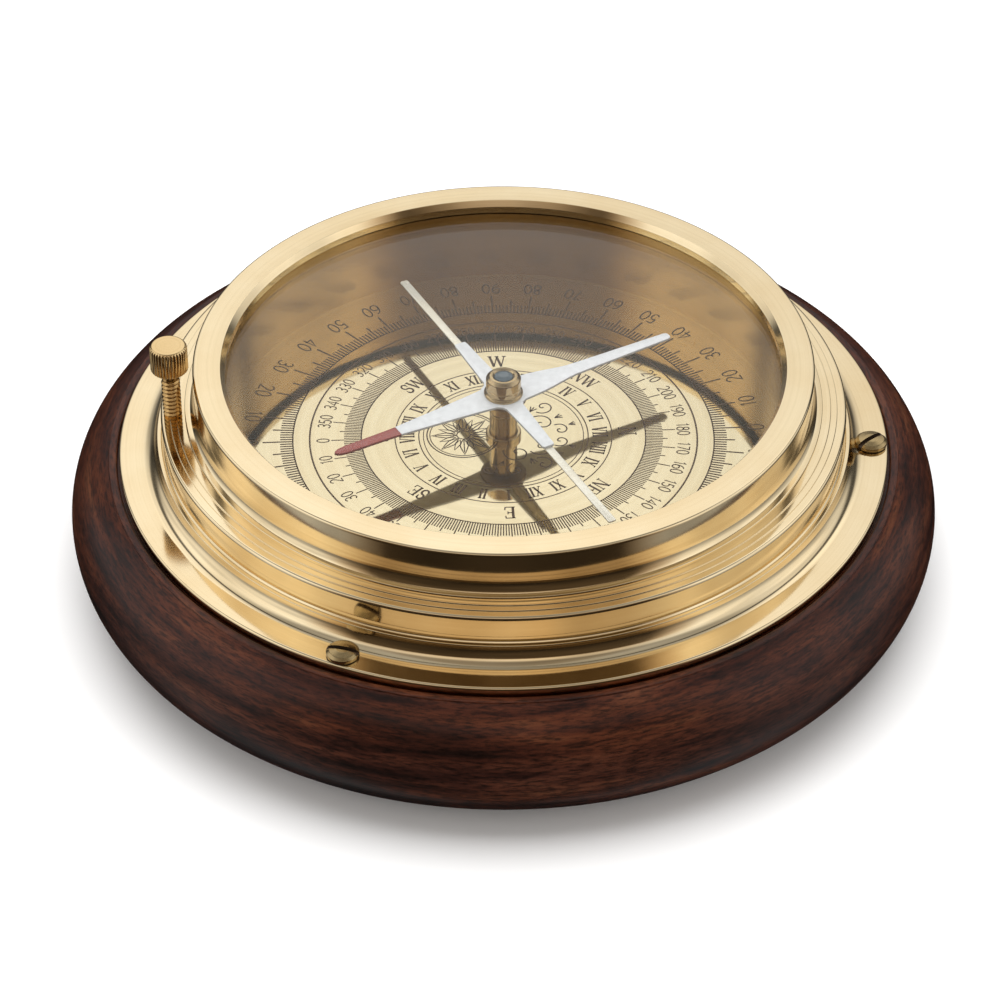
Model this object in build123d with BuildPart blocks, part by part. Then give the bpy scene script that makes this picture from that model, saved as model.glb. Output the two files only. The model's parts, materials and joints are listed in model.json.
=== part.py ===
from build123d import *
import math
import os

# Desk sighting compass: a turned wooden base, a stepped brass bowl with a glazed bezel,
# an engraved dial, a four-armed needle on a pivot, and a screw that lifts a sleeve under the needle.
# Millimetres. +Z is up, the origin is the centre of the underside, and the viewer stands at -Y.

# Wooden base and felt
base_radius = 75.0
base_edge_radius = 12.2
base_bottom = 0.8
felt_radius = 58.0
felt_top = 1.5
felt_edge_round = 0.3
pocket_radius = 32.0
pocket_floor = 8.0
seat_height = 23.5
rebate_radius = 66.45
ridge_step = 0.25

# Brass bowl
flange_radius = 66.1
flange_top = 25.5
cove_radius = 2.8
drum_radius = 58.4
drum_bottom = 28.6
ledge_height = 34.1
ledge_step = 0.2
ledge_outer_step_width = 1.5
ledge_inner_step_width = 2.6
ledge_edge_round = 0.5
flange_edge_round = 0.4
bead_width = 0.6
bead_groove_width = 0.4
bead_groove_depth = 0.1
bowl_radius = 48.3
neck_radius = 50.6
neck_top = 36.2
hollow_inner_radius = 52.9
hollow_outer_radius = 56.1
hollow_top = 31.0
boss_angle = 30.0
screw_hole_clearance = 0.15

# Bezel, glass and dial
bezel_radius = 52.7
bezel_foot_radius = 54.4
bezel_top = 41.85
bezel_edge_round = 0.45
bezel_foot_height = 0.35
bezel_foot_rise = 1.9
bezel_opening_radius = 47.2
opening_bevel_width = 0.8
opening_bevel_depth = 0.6
neck_clearance = 0.1
lip_underside = 39.6
glass_radius = 50.4
glass_bottom = 38.6
glass_top = 39.4
glass_bevel = 0.2
gasket_outer_inset = 0.2
gasket_inner_inset = 0.3
dial_radius = 50.5
dial_top = 25.3
wall_clearance = 0.2
running_clearance = 0.05

# Flange screws: angle of each screw and direction of its slot, in degrees
flange_screw_ring = 63.2
flange_screw_places = [(-2.5, 39.0), (114.0, 70.0), (246.0, -15.0)]
flange_screw_head_radius = 2.7
flange_screw_head_height = 1.4
flange_screw_head_edge = 0.6
flange_screw_radius = 1.4
flange_screw_tip = 15.0
flange_screw_point_length = 1.6
flange_screw_point_radius = 0.8
screw_slot_width = 0.7
screw_slot_depth = 0.7

# Needle and its pivot
needle_bottom = 33.8
needle_top = 34.3
needle_angle = 30.5
cross_angle = 117.6
red_arm_length = 33.0
plain_arm_length = 33.6
cross_arm_length = 16.6
cross_strip_length = 38.6
hub_radius = 4.0
hub_hole_radius = 1.6
red_tip_radius = 0.6
strip_bottom = 33.5
washer_bottom = 33.3
cap_radius = 3.0
cap_foot_width = 0.35
cap_foot_height = 0.45
cap_foot_rise = 0.7
cap_edge_round = 0.8
cap_top = 38.1
jewel_top = 38.35
jewel_bottom = 37.2
pivot_tip = 37.4
stem_radius = 1.2
stem_top = 33.9
stem_shoulder_top = 14.5

# Needle lock: screw, pad, lever and sleeve
lock_angle = 185.0
lock_ring = 56.4
lock_head_radius = 3.2
lock_head_top = 48.0
lock_head_height = 5.15
lock_head_bevel = 0.25
shank_radius = 1.6
shank_bottom = 20.6
pad_bottom = 18.2
pad_radius = 1.5
pad_round = 0.6
pad_spigot_radius = 0.6
pad_spigot_top = 22.3
lever_top = 18.1
lever_bottom = 16.9
lever_width = 5.0
lever_end = 58.4
lever_start = 4.0
fork_width = 6.8
fork_end = 6.0
fork_tip = -3.2
fork_slot_width = 3.4
lever_pivot_distance = 22.0
lever_pivot_height = 17.5
knuckle_radius = 1.8
pin_radius = 0.8
sleeve_radius = 2.4
sleeve_bottom = 18.2
sleeve_top = 32.8
collar_radius = 4.0
collar_top = 19.2
sleeve_bevel = 0.2
nut_bottom = 22.0
bridge_bottom = 11.0
bridge_top = 12.5
bridge_radius = 17.0
pillar_ring = 14.0
pillar_radius = 2.0
ear_gap = 5.6
ear_thickness = 1.2
bracket_base_bottom = 22.3
bracket_screw_offset = 6.5

os.makedirs("parts", exist_ok=True)


def save(piece, name):
    piece.part.label = name
    export_step(piece.part, "parts/" + name + ".step")


def outer_round(radius, height, size):
    """Quarter-round edge from an upright wall at that radius to a flat top at that height."""
    diagonal = size * (1 - math.sqrt(0.5))
    ThreePointArc(
        (radius, height - size),
        (radius - diagonal, height - diagonal),
        (radius - size, height),
    )


def inner_round(radius, height, size):
    """Quarter-round edge from a flat top at that height to an upright wall of a hole of that radius."""
    diagonal = size * (1 - math.sqrt(0.5))
    ThreePointArc(
        (radius + size, height),
        (radius + diagonal, height - diagonal),
        (radius, height - size),
    )


def dome_arc(edge_radius, edge_height, top_height):
    """Arc of a shallow dome, from its edge to its top on the main axis."""
    rise = top_height - edge_height
    sphere = (edge_radius**2 + rise**2) / (2 * rise)
    half_way_drop = sphere - math.sqrt(sphere**2 - (edge_radius / 2) ** 2)
    ThreePointArc(
        (edge_radius, edge_height),
        (edge_radius / 2, top_height - half_way_drop),
        (0, top_height),
    )


def radial_plane(angle):
    """Upright plane through the main axis: local x is the radius at that angle, local y is height."""
    turn = math.radians(angle)
    outward = (math.cos(turn), math.sin(turn), 0)
    return Plane(origin=(0, 0, 0), x_dir=outward, z_dir=(math.sin(turn), -math.cos(turn), 0))


def ring_point(radius, angle):
    turn = math.radians(angle)
    return (radius * math.cos(turn), radius * math.sin(turn))


# Level plane whose x axis runs from the main axis towards the lock screw
lock_turn = math.radians(lock_angle)
lock_outward = (math.cos(lock_turn), math.sin(lock_turn), 0)
lock_across = (-math.sin(lock_turn), math.cos(lock_turn), 0)


def lock_plane(height):
    return Plane(origin=(0, 0, height), x_dir=lock_outward, z_dir=(0, 0, 1))


screw_points = [ring_point(flange_screw_ring, angle) for angle, slot in flange_screw_places]
pillar_points = [ring_point(pillar_ring, lock_angle + turn) for turn in (60, 180, 300)]
bracket_screw_points = [
    (lever_pivot_distance, bracket_screw_offset),
    (lever_pivot_distance, -bracket_screw_offset),
]

# ---------------------------------------------------------------- wooden base and felt
edge_centre_radius = base_radius - base_edge_radius
edge_centre_height = base_bottom + base_edge_radius
lip_round = 0.4
ridge_radius = 68.0
ridge_foot_height = edge_centre_height + math.sqrt(
    base_edge_radius**2 - (ridge_radius - edge_centre_radius) ** 2
)
lip_radius = rebate_radius + lip_round
lip_height = ridge_foot_height + ridge_step
lever_slot_width = 9.0
lever_slot_end = 60.5
lever_slot_floor = 14.5

with BuildPart() as wood_base:
    with BuildSketch(Plane.XZ):
        with BuildLine():
            Polyline(
                (rebate_radius, lip_height - lip_round),
                (rebate_radius, seat_height),
                (pocket_radius, seat_height),
                (pocket_radius, pocket_floor),
                (0, pocket_floor),
                (0, felt_top),
                (felt_radius + wall_clearance, felt_top),
                (felt_radius + wall_clearance, base_bottom),
                (edge_centre_radius, base_bottom),
            )
            ThreePointArc(
                (edge_centre_radius, base_bottom),
                (base_radius, edge_centre_height),
                (ridge_radius, ridge_foot_height),
            )
            Polyline(
                (ridge_radius, ridge_foot_height),
                (ridge_radius - ridge_step, lip_height),
                (lip_radius, lip_height),
            )
            inner_round(rebate_radius, lip_height, lip_round)
        make_face()
    revolve(axis=Axis.Z)
    with BuildSketch(lock_plane(lever_slot_floor)):
        with Locations((lever_slot_end / 2, 0)):
            Rectangle(lever_slot_end, lever_slot_width)
    extrude(amount=seat_height - lever_slot_floor + 1.0, mode=Mode.SUBTRACT)
    with BuildSketch(Plane.XY.offset(flange_screw_tip - 1.0)):
        with Locations(*screw_points):
            Circle(flange_screw_radius + running_clearance)
    extrude(amount=seat_height - flange_screw_tip + 1.0, mode=Mode.SUBTRACT)
save(wood_base, "wood_base")

with BuildPart() as felt_pad:
    with BuildSketch(Plane.XY):
        Circle(felt_radius)
    extrude(amount=felt_top)
    fillet(felt_pad.faces().sort_by(Axis.Z)[0].edges(), radius=felt_edge_round)
save(felt_pad, "felt_pad")

# ---------------------------------------------------------------- brass bowl
bead_inner = drum_radius + bead_groove_width
bead_outer = bead_inner + bead_width
cove_start = bead_outer + cove_radius
bead_bulge = 0.12
drum_top = ledge_height - 2 * ledge_step
quarter_turn_half = math.radians(45)

with BuildPart() as flange_body:
    with BuildSketch(Plane.XZ):
        with BuildLine():
            Polyline(
                (bowl_radius, dial_top),
                (dial_radius + wall_clearance, dial_top),
                (dial_radius + wall_clearance, seat_height),
                (flange_radius - flange_edge_round, seat_height),
                (flange_radius, seat_height + flange_edge_round),
                (flange_radius, flange_top - flange_edge_round),
            )
            outer_round(flange_radius, flange_top, flange_edge_round)
            Line((flange_radius - flange_edge_round, flange_top), (cove_start, flange_top))
            ThreePointArc(
                (cove_start, flange_top),
                (
                    cove_start - cove_radius * math.sin(quarter_turn_half),
                    flange_top + cove_radius * (1 - math.cos(quarter_turn_half)),
                ),
                (bead_outer, flange_top + cove_radius),
            )
            ThreePointArc(
                (bead_outer, flange_top + cove_radius),
                (bead_outer - bead_bulge, drum_bottom - bead_bulge / 2),
                (bead_inner, drum_bottom),
            )
            Polyline(
                (bead_inner, drum_bottom),
                (drum_radius, drum_bottom + bead_groove_depth),
                (drum_radius, drum_top - ledge_edge_round),
            )
            outer_round(drum_radius, drum_top, ledge_edge_round)
            Polyline(
                (drum_radius - ledge_edge_round, drum_top),
                (drum_radius - ledge_outer_step_width, drum_top),
                (drum_radius - ledge_outer_step_width, ledge_height - ledge_step),
                (drum_radius - ledge_inner_step_width, ledge_height - ledge_step),
                (drum_radius - ledge_inner_step_width, ledge_height),
                (neck_radius, ledge_height),
                (neck_radius, neck_top),
                (bowl_radius, neck_top),
                (bowl_radius, dial_top),
            )
        make_face()
    revolve(axis=Axis.Z)
    # annular hollow under the drum, left solid for a boss around the lock screw
    with BuildSketch(radial_plane(lock_angle + boss_angle / 2)):
        with Locations(((hollow_inner_radius + hollow_outer_radius) / 2, (seat_height + hollow_top) / 2)):
            Rectangle(hollow_outer_radius - hollow_inner_radius, hollow_top - seat_height)
    revolve(axis=Axis.Z, revolution_arc=360 - boss_angle, mode=Mode.SUBTRACT)
    with BuildSketch(Plane.XY.offset(seat_height - 1.0)):
        with Locations(*screw_points):
            Circle(flange_screw_radius + screw_hole_clearance)
    extrude(amount=flange_top - seat_height + 2.0, mode=Mode.SUBTRACT)
    # flat seats for the screw heads, cut into the foot of the cove
    with BuildSketch(Plane.XY.offset(flange_top)):
        with Locations(*screw_points):
            Circle(flange_screw_head_radius + screw_hole_clearance)
    extrude(amount=cove_radius, mode=Mode.SUBTRACT)
    with BuildSketch(lock_plane(seat_height - 1.0)):
        with Locations((lock_ring, 0)):
            Circle(shank_radius + running_clearance)
    extrude(amount=ledge_height - seat_height + 2.0, mode=Mode.SUBTRACT)
save(flange_body, "flange_body")

screw_head_top = flange_top + flange_screw_head_height

with BuildPart() as flange_screw:
    with BuildSketch(Plane.XZ):
        with BuildLine():
            Polyline(
                (0, flange_screw_tip),
                (flange_screw_point_radius, flange_screw_tip + flange_screw_point_length / 4),
                (flange_screw_radius, flange_screw_tip + flange_screw_point_length),
                (flange_screw_radius, flange_top),
                (flange_screw_head_radius, flange_top),
                (flange_screw_head_radius, flange_top + flange_screw_head_edge),
            )
            dome_arc(flange_screw_head_radius, flange_top + flange_screw_head_edge, screw_head_top)
            Line((0, screw_head_top), (0, flange_screw_tip))
        make_face()
    revolve(axis=Axis.Z)
    with BuildSketch(Plane.XY.offset(screw_head_top - screw_slot_depth)):
        Rectangle(3 * flange_screw_head_radius, screw_slot_width)
    extrude(amount=2 * screw_slot_depth, mode=Mode.SUBTRACT)

with BuildPart() as flange_screws:
    for (angle, slot), (x, y) in zip(flange_screw_places, screw_points):
        with Locations(Location((x, y, 0), (0, 0, slot))):
            add(flange_screw.part)
save(flange_screws, "flange_screws")

# ---------------------------------------------------------------- bezel, glass and dial
bezel_foot_width = bezel_foot_radius - bezel_radius

with BuildPart() as bezel_ring:
    with BuildSketch(Plane.XZ):
        with BuildLine():
            Polyline(
                (neck_radius + neck_clearance, lip_underside),
                (neck_radius + neck_clearance, ledge_height),
                (bezel_foot_radius, ledge_height),
                (bezel_foot_radius, ledge_height + bezel_foot_height),
            )
            ThreePointArc(
                (bezel_foot_radius, ledge_height + bezel_foot_height),
                (bezel_radius + 0.3 * bezel_foot_width, ledge_height + 0.4 * bezel_foot_rise),
                (bezel_radius, ledge_height + bezel_foot_rise),
            )
            Line(
                (bezel_radius, ledge_height + bezel_foot_rise),
                (bezel_radius, bezel_top - bezel_edge_round),
            )
            outer_round(bezel_radius, bezel_top, bezel_edge_round)
            Polyline(
                (bezel_radius - bezel_edge_round, bezel_top),
                (bezel_opening_radius + opening_bevel_width, bezel_top),
                (bezel_opening_radius, bezel_top - opening_bevel_depth),
                (bezel_opening_radius, lip_underside),
                (neck_radius + neck_clearance, lip_underside),
            )
        make_face()
    revolve(axis=Axis.Z)
save(bezel_ring, "bezel_ring")

with BuildPart() as glass_gasket:
    with BuildSketch(Plane.XY.offset(glass_top)):
        Circle(glass_radius - gasket_outer_inset)
        Circle(bezel_opening_radius + gasket_inner_inset, mode=Mode.SUBTRACT)
    extrude(amount=lip_underside - glass_top)
save(glass_gasket, "glass_gasket")

with BuildPart() as cover_glass:
    with BuildSketch(Plane.XY.offset(glass_bottom)):
        Circle(glass_radius)
    extrude(amount=glass_top - glass_bottom)
    chamfer(cover_glass.edges(), length=glass_bevel)
save(cover_glass, "cover_glass")

with BuildPart() as glass_retaining_ring:
    with BuildSketch(Plane.XY.offset(neck_top)):
        Circle(glass_radius)
        Circle(bowl_radius, mode=Mode.SUBTRACT)
    extrude(amount=glass_bottom - neck_top)
save(glass_retaining_ring, "glass_retaining_ring")

bush_shank_radius = 2.8
bush_hole_radius = bush_shank_radius + running_clearance
pillar_spigot_radius = 1.0
pillar_spigot_height = 0.75
small_screw_radius = 0.8
small_screw_depth = 0.8
blind_hole_gap = 0.1

with BuildPart() as dial_plate:
    with BuildSketch(Plane.XY.offset(seat_height)):
        Circle(dial_radius)
        Circle(bush_hole_radius, mode=Mode.SUBTRACT)
    extrude(amount=dial_top - seat_height)
    with BuildSketch(Plane.XY.offset(seat_height)):
        with Locations(*pillar_points):
            Circle(pillar_spigot_radius + running_clearance)
    extrude(amount=pillar_spigot_height + blind_hole_gap, mode=Mode.SUBTRACT)
    with BuildSketch(lock_plane(seat_height)):
        with Locations(*bracket_screw_points):
            Circle(small_screw_radius + running_clearance)
    extrude(amount=small_screw_depth + blind_hole_gap, mode=Mode.SUBTRACT)
save(dial_plate, "dial_plate")

# ---------------------------------------------------------------- pivot post
bush_rim_radius = bush_shank_radius + 0.25
bush_rim_height = 1.0
bush_rim_bevel = 0.2

with BuildPart() as guide_bush:
    with BuildSketch(Plane.XZ):
        with BuildLine():
            Polyline(
                (sleeve_radius + running_clearance, nut_bottom),
                (bush_shank_radius, nut_bottom),
                (bush_shank_radius, dial_top),
                (bush_rim_radius, dial_top),
                (bush_rim_radius, dial_top + bush_rim_height - bush_rim_bevel),
                (bush_rim_radius - bush_rim_bevel, dial_top + bush_rim_height),
                (sleeve_radius + running_clearance, dial_top + bush_rim_height),
                close=True,
            )
        make_face()
    revolve(axis=Axis.Z)
save(guide_bush, "guide_bush")

bush_nut_radius = 5.0

with BuildPart() as bush_nut:
    with BuildSketch(Plane.XY.offset(nut_bottom)):
        RegularPolygon(radius=bush_nut_radius, side_count=6)
        Circle(bush_hole_radius, mode=Mode.SUBTRACT)
    extrude(amount=seat_height - nut_bottom)
save(bush_nut, "bush_nut")

stem_thread_radius = 1.5
stem_bottom = 9.0
stem_shoulder_radius = 2.1
point_radius = 0.5
point_bottom = 31.0
point_taper = 2.1
point_end_radius = 0.06
press_clearance = 0.02

with BuildPart() as pivot_stem:
    with BuildSketch(Plane.XY.offset(stem_bottom)):
        Circle(stem_thread_radius)
    extrude(amount=bridge_top - stem_bottom)
    with BuildSketch(Plane.XY.offset(bridge_top)):
        Circle(stem_shoulder_radius)
    extrude(amount=stem_shoulder_top - bridge_top)
    with BuildSketch(Plane.XY.offset(stem_shoulder_top)):
        Circle(stem_radius)
    extrude(amount=stem_top - stem_shoulder_top)
    with BuildSketch(Plane.XY.offset(point_bottom)):
        Circle(point_radius + press_clearance)
    extrude(amount=stem_top - point_bottom, mode=Mode.SUBTRACT)
save(pivot_stem, "pivot_stem")

with BuildPart() as pivot_point:
    with BuildSketch(Plane.XZ):
        with BuildLine():
            Polyline(
                (0, point_bottom),
                (point_radius, point_bottom),
                (point_radius, pivot_tip - point_taper),
                (point_end_radius, pivot_tip - point_end_radius),
                (0, pivot_tip),
                close=True,
            )
        make_face()
    revolve(axis=Axis.Z)
save(pivot_point, "pivot_point")

with BuildPart() as stem_bridge:
    with BuildSketch(Plane.XY.offset(bridge_bottom)):
        Circle(bridge_radius)
        Circle(stem_thread_radius + running_clearance, mode=Mode.SUBTRACT)
        with Locations(*pillar_points):
            Circle(small_screw_radius + screw_hole_clearance, mode=Mode.SUBTRACT)
    extrude(amount=bridge_top - bridge_bottom)
save(stem_bridge, "stem_bridge")

stem_nut_radius = 3.2
stem_nut_bottom = stem_bottom + 0.3

with BuildPart() as stem_nut:
    with BuildSketch(Plane.XY.offset(stem_nut_bottom)):
        RegularPolygon(radius=stem_nut_radius, side_count=6)
        Circle(stem_thread_radius + running_clearance, mode=Mode.SUBTRACT)
    extrude(amount=bridge_bottom - stem_nut_bottom)
save(stem_nut, "stem_nut")

bridge_screw_grip = 3.5
small_slot = 0.5
bridge_screw_head_height = 1.0
bridge_screw_head_radius = 1.8
bridge_screw_top = bridge_top + bridge_screw_grip
bridge_head_bottom = bridge_bottom - bridge_screw_head_height

with BuildPart() as bridge_pillars:
    with BuildSketch(Plane.XY.offset(bridge_top)):
        with Locations(*pillar_points):
            Circle(pillar_radius)
    extrude(amount=seat_height - bridge_top)
    with BuildSketch(Plane.XY.offset(seat_height)):
        with Locations(*pillar_points):
            Circle(pillar_spigot_radius)
    extrude(amount=pillar_spigot_height)
    with BuildSketch(Plane.XY.offset(bridge_top)):
        with Locations(*pillar_points):
            Circle(small_screw_radius + running_clearance)
    extrude(amount=bridge_screw_grip + screw_slot_depth, mode=Mode.SUBTRACT)
save(bridge_pillars, "bridge_pillars")

with BuildPart() as bridge_screws:
    with BuildSketch(Plane.XY.offset(bridge_head_bottom)):
        with Locations(*pillar_points):
            Circle(bridge_screw_head_radius)
    extrude(amount=bridge_screw_head_height)
    with BuildSketch(Plane.XY.offset(bridge_bottom)):
        with Locations(*pillar_points):
            Circle(small_screw_radius)
    extrude(amount=bridge_screw_top - bridge_bottom)
    with BuildSketch(Plane.XY.offset(bridge_head_bottom)):
        with Locations(*pillar_points):
            Rectangle(3 * bridge_screw_head_radius, small_slot)
    extrude(amount=small_slot, mode=Mode.SUBTRACT)
save(bridge_screws, "bridge_screws")

# ---------------------------------------------------------------- needle
strip_half_width = 0.75
strip_hub_radius = 3.4
washer_radius = 3.6


def arm_outline(stations):
    """Closed outline of an arm along local x from a list of (distance, half width)."""
    upper = [(distance, half) for distance, half in stations]
    lower = [(distance, -half) for distance, half in reversed(stations)]
    Polyline(*upper, *lower, close=True)


def level_plane(angle, height):
    return Plane.XY.offset(height).rotated((0, 0, angle))


# arms as (distance from the main axis, half width)
red_tip_centre = red_arm_length - red_tip_radius
red_arm = [
    (0, 2.65),
    (4.3, 2.65),
    (10.9, 2.0),
    (16.8, 1.5),
    (21.0, 1.12),
    (red_arm_length - 2.0, 0.9),
    (red_tip_centre, red_tip_radius),
]
plain_arm = [
    (0, 3.2),
    (4.0, 3.2),
    (8.5, 2.5),
    (13.6, 1.5),
    (20.0, 1.25),
    (27.0, 1.05),
    (plain_arm_length, 0.85),
]
cross_arm = [(0, 1.75), (4.0, 1.7), (cross_arm_length, 1.1)]

with BuildPart() as needle_plate:
    with BuildSketch(Plane.XY.offset(needle_bottom)):
        Circle(hub_radius)
    with BuildSketch(level_plane(needle_angle + 180, needle_bottom)):
        with BuildLine():
            arm_outline(red_arm)
        make_face()
        with Locations((red_tip_centre, 0)):
            Circle(red_tip_radius)
    with BuildSketch(level_plane(needle_angle, needle_bottom)):
        with BuildLine():
            arm_outline(plain_arm)
        make_face()
    for angle in (cross_angle, cross_angle + 180):
        with BuildSketch(level_plane(angle, needle_bottom)):
            with BuildLine():
                arm_outline(cross_arm)
            make_face()
    extrude(amount=needle_top - needle_bottom)
    with BuildSketch(Plane.XY.offset(needle_bottom)):
        Circle(hub_hole_radius)
    extrude(amount=needle_top - needle_bottom, mode=Mode.SUBTRACT)
save(needle_plate, "needle_plate")

with BuildPart() as cross_strip:
    with BuildSketch(level_plane(cross_angle, strip_bottom)):
        Rectangle(2 * cross_strip_length, 2 * strip_half_width)
        Circle(strip_hub_radius)
        Circle(hub_hole_radius, mode=Mode.SUBTRACT)
    extrude(amount=needle_bottom - strip_bottom)
save(cross_strip, "cross_strip")

with BuildPart() as hub_washer:
    with BuildSketch(Plane.XY.offset(washer_bottom)):
        Circle(washer_radius)
        Circle(hub_hole_radius, mode=Mode.SUBTRACT)
    extrude(amount=strip_bottom - washer_bottom)
save(hub_washer, "hub_washer")

with BuildPart() as pivot_cap:
    with BuildSketch(Plane.XZ):
        with BuildLine():
            Polyline(
                (hub_hole_radius, needle_top),
                (cap_radius + cap_foot_width, needle_top),
                (cap_radius + cap_foot_width, needle_top + cap_foot_height),
                (cap_radius, needle_top + cap_foot_rise),
                (cap_radius, cap_top - cap_edge_round),
            )
            outer_round(cap_radius, cap_top, cap_edge_round)
            Polyline(
                (cap_radius - cap_edge_round, cap_top),
                (hub_hole_radius, cap_top),
                (hub_hole_radius, needle_top),
            )
        make_face()
    revolve(axis=Axis.Z)
save(pivot_cap, "pivot_cap")

jewel_radius = hub_hole_radius - press_clearance
jewel_cup_radius = 0.55
jewel_edge_height = cap_top + 0.05
jewel_cup_top = pivot_tip + running_clearance

with BuildPart() as cap_jewel:
    with BuildSketch(Plane.XZ):
        with BuildLine():
            Polyline(
                (0, jewel_cup_top),
                (jewel_cup_radius, jewel_bottom),
                (jewel_radius, jewel_bottom),
                (jewel_radius, jewel_edge_height),
            )
            dome_arc(jewel_radius, jewel_edge_height, jewel_top)
            Line((0, jewel_top), (0, jewel_cup_top))
        make_face()
    revolve(axis=Axis.Z)
save(cap_jewel, "cap_jewel")

# ---------------------------------------------------------------- needle lock
lock_head_bottom = lock_head_top - lock_head_height

with BuildPart() as lock_screw:
    with BuildSketch(lock_plane(shank_bottom)):
        with Locations((lock_ring, 0)):
            Circle(shank_radius)
    extrude(amount=lock_head_bottom - shank_bottom)
    with BuildSketch(lock_plane(lock_head_bottom)):
        with Locations((lock_ring, 0)):
            Circle(lock_head_radius)
    extrude(amount=lock_head_height)
    chamfer(lock_screw.faces().sort_by(Axis.Z)[-1].edges(), length=lock_head_bevel)
    with BuildSketch(lock_plane(shank_bottom)):
        with Locations((lock_ring, 0)):
            Circle(pad_spigot_radius + running_clearance)
    extrude(amount=pad_spigot_top - shank_bottom + blind_hole_gap, mode=Mode.SUBTRACT)
save(lock_screw, "lock_screw")

with BuildPart() as thrust_pad:
    with BuildSketch(lock_plane(pad_bottom)):
        with Locations((lock_ring, 0)):
            Circle(pad_radius)
    extrude(amount=shank_bottom - pad_bottom)
    fillet(thrust_pad.faces().sort_by(Axis.Z)[0].edges(), radius=pad_round)
    with BuildSketch(lock_plane(shank_bottom)):
        with Locations((lock_ring, 0)):
            Circle(pad_spigot_radius)
    extrude(amount=pad_spigot_top - shank_bottom)
save(thrust_pad, "thrust_pad")

pivot_point_on_lever = [lever_pivot_distance * c for c in lock_outward[:2]]
lever_pin_plane = Plane(
    origin=(pivot_point_on_lever[0], pivot_point_on_lever[1], lever_pivot_height),
    x_dir=lock_outward,
    z_dir=lock_across,
)

with BuildPart() as arrest_lever:
    with BuildSketch(lock_plane(lever_bottom)):
        with Locations(((lever_end + lever_start) / 2, 0)):
            Rectangle(lever_end - lever_start, lever_width)
        with Locations(((fork_end + fork_tip) / 2, 0)):
            Rectangle(fork_end - fork_tip, fork_width)
        with Locations((fork_tip / 2, 0)):
            Rectangle(-fork_tip, fork_slot_width, mode=Mode.SUBTRACT)
        Circle(fork_slot_width / 2, mode=Mode.SUBTRACT)
    extrude(amount=lever_top - lever_bottom)
    with BuildSketch(lever_pin_plane):
        Circle(knuckle_radius)
    extrude(amount=lever_width / 2, both=True)
    with BuildSketch(lever_pin_plane):
        Circle(pin_radius + running_clearance)
    extrude(amount=lever_width, both=True, mode=Mode.SUBTRACT)
save(arrest_lever, "arrest_lever")

ear_outer = ear_gap / 2 + ear_thickness
ear_bottom = lever_pivot_height - 2.3
ear_width = 5.0
pin_overhang = 0.4
bracket_base_width = 9.0
bracket_base_length = 2 * bracket_screw_offset + 5.0

with BuildPart() as lever_bracket:
    with BuildSketch(lock_plane(bracket_base_bottom)):
        with Locations((lever_pivot_distance, 0)):
            Rectangle(bracket_base_width, bracket_base_length)
        with Locations(*bracket_screw_points):
            Circle(small_screw_radius + screw_hole_clearance, mode=Mode.SUBTRACT)
    extrude(amount=seat_height - bracket_base_bottom)
    with BuildSketch(lock_plane(ear_bottom)):
        for side in (-1, 1):
            with Locations((lever_pivot_distance, side * (ear_outer - ear_thickness / 2))):
                Rectangle(ear_width, ear_thickness)
    extrude(amount=bracket_base_bottom - ear_bottom)
    with BuildSketch(lever_pin_plane):
        Circle(pin_radius + press_clearance)
    extrude(amount=ear_outer + 1.0, both=True, mode=Mode.SUBTRACT)
save(lever_bracket, "lever_bracket")

bracket_screw_head_radius = 1.6
bracket_screw_head_height = 0.9
bracket_head_bottom = bracket_base_bottom - bracket_screw_head_height

with BuildPart() as bracket_screws:
    with BuildSketch(lock_plane(bracket_head_bottom)):
        with Locations(*bracket_screw_points):
            Circle(bracket_screw_head_radius)
    extrude(amount=bracket_screw_head_height)
    with BuildSketch(lock_plane(bracket_base_bottom)):
        with Locations(*bracket_screw_points):
            Circle(small_screw_radius)
    extrude(amount=seat_height + small_screw_depth - bracket_base_bottom)
    with BuildSketch(lock_plane(bracket_head_bottom)):
        with Locations(*bracket_screw_points):
            Rectangle(3 * bracket_screw_head_radius, small_slot)
    extrude(amount=small_slot, mode=Mode.SUBTRACT)
save(bracket_screws, "bracket_screws")

with BuildPart() as lever_pin:
    with BuildSketch(lever_pin_plane):
        Circle(pin_radius)
    extrude(amount=ear_outer + pin_overhang, both=True)
save(lever_pin, "lever_pin")

with BuildPart() as lift_sleeve:
    with BuildSketch(Plane.XY.offset(sleeve_bottom)):
        Circle(collar_radius)
    extrude(amount=collar_top - sleeve_bottom)
    with BuildSketch(Plane.XY.offset(collar_top)):
        Circle(sleeve_radius)
    extrude(amount=sleeve_top - collar_top)
    chamfer(lift_sleeve.faces().sort_by(Axis.Z)[-1].edges(), length=sleeve_bevel)
    with BuildSketch(Plane.XY.offset(sleeve_bottom)):
        Circle(stem_radius + running_clearance)
    extrude(amount=sleeve_top - sleeve_bottom, mode=Mode.SUBTRACT)
save(lift_sleeve, "lift_sleeve")

spring_wire_radius = 0.2
spring_radius = 3.0
spring_end_gap = 0.05
spring_turns = 3
coil_bottom = collar_top + spring_wire_radius + spring_end_gap
coil_height = nut_bottom - collar_top - 2 * (spring_wire_radius + spring_end_gap)

with BuildPart() as return_spring:
    with BuildLine(Plane.XY.offset(coil_bottom)):
        coil = Helix(pitch=coil_height / spring_turns, height=coil_height, radius=spring_radius)
    with BuildSketch(Plane(origin=coil @ 0, z_dir=coil % 0)):
        Circle(spring_wire_radius)
    sweep(path=coil)
save(return_spring, "return_spring")
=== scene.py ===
"""The looks of the desk sighting compass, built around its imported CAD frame. Lengths are in metres."""
import bpy
import bmesh
import json
import math
from mathutils import Matrix, Vector


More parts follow.
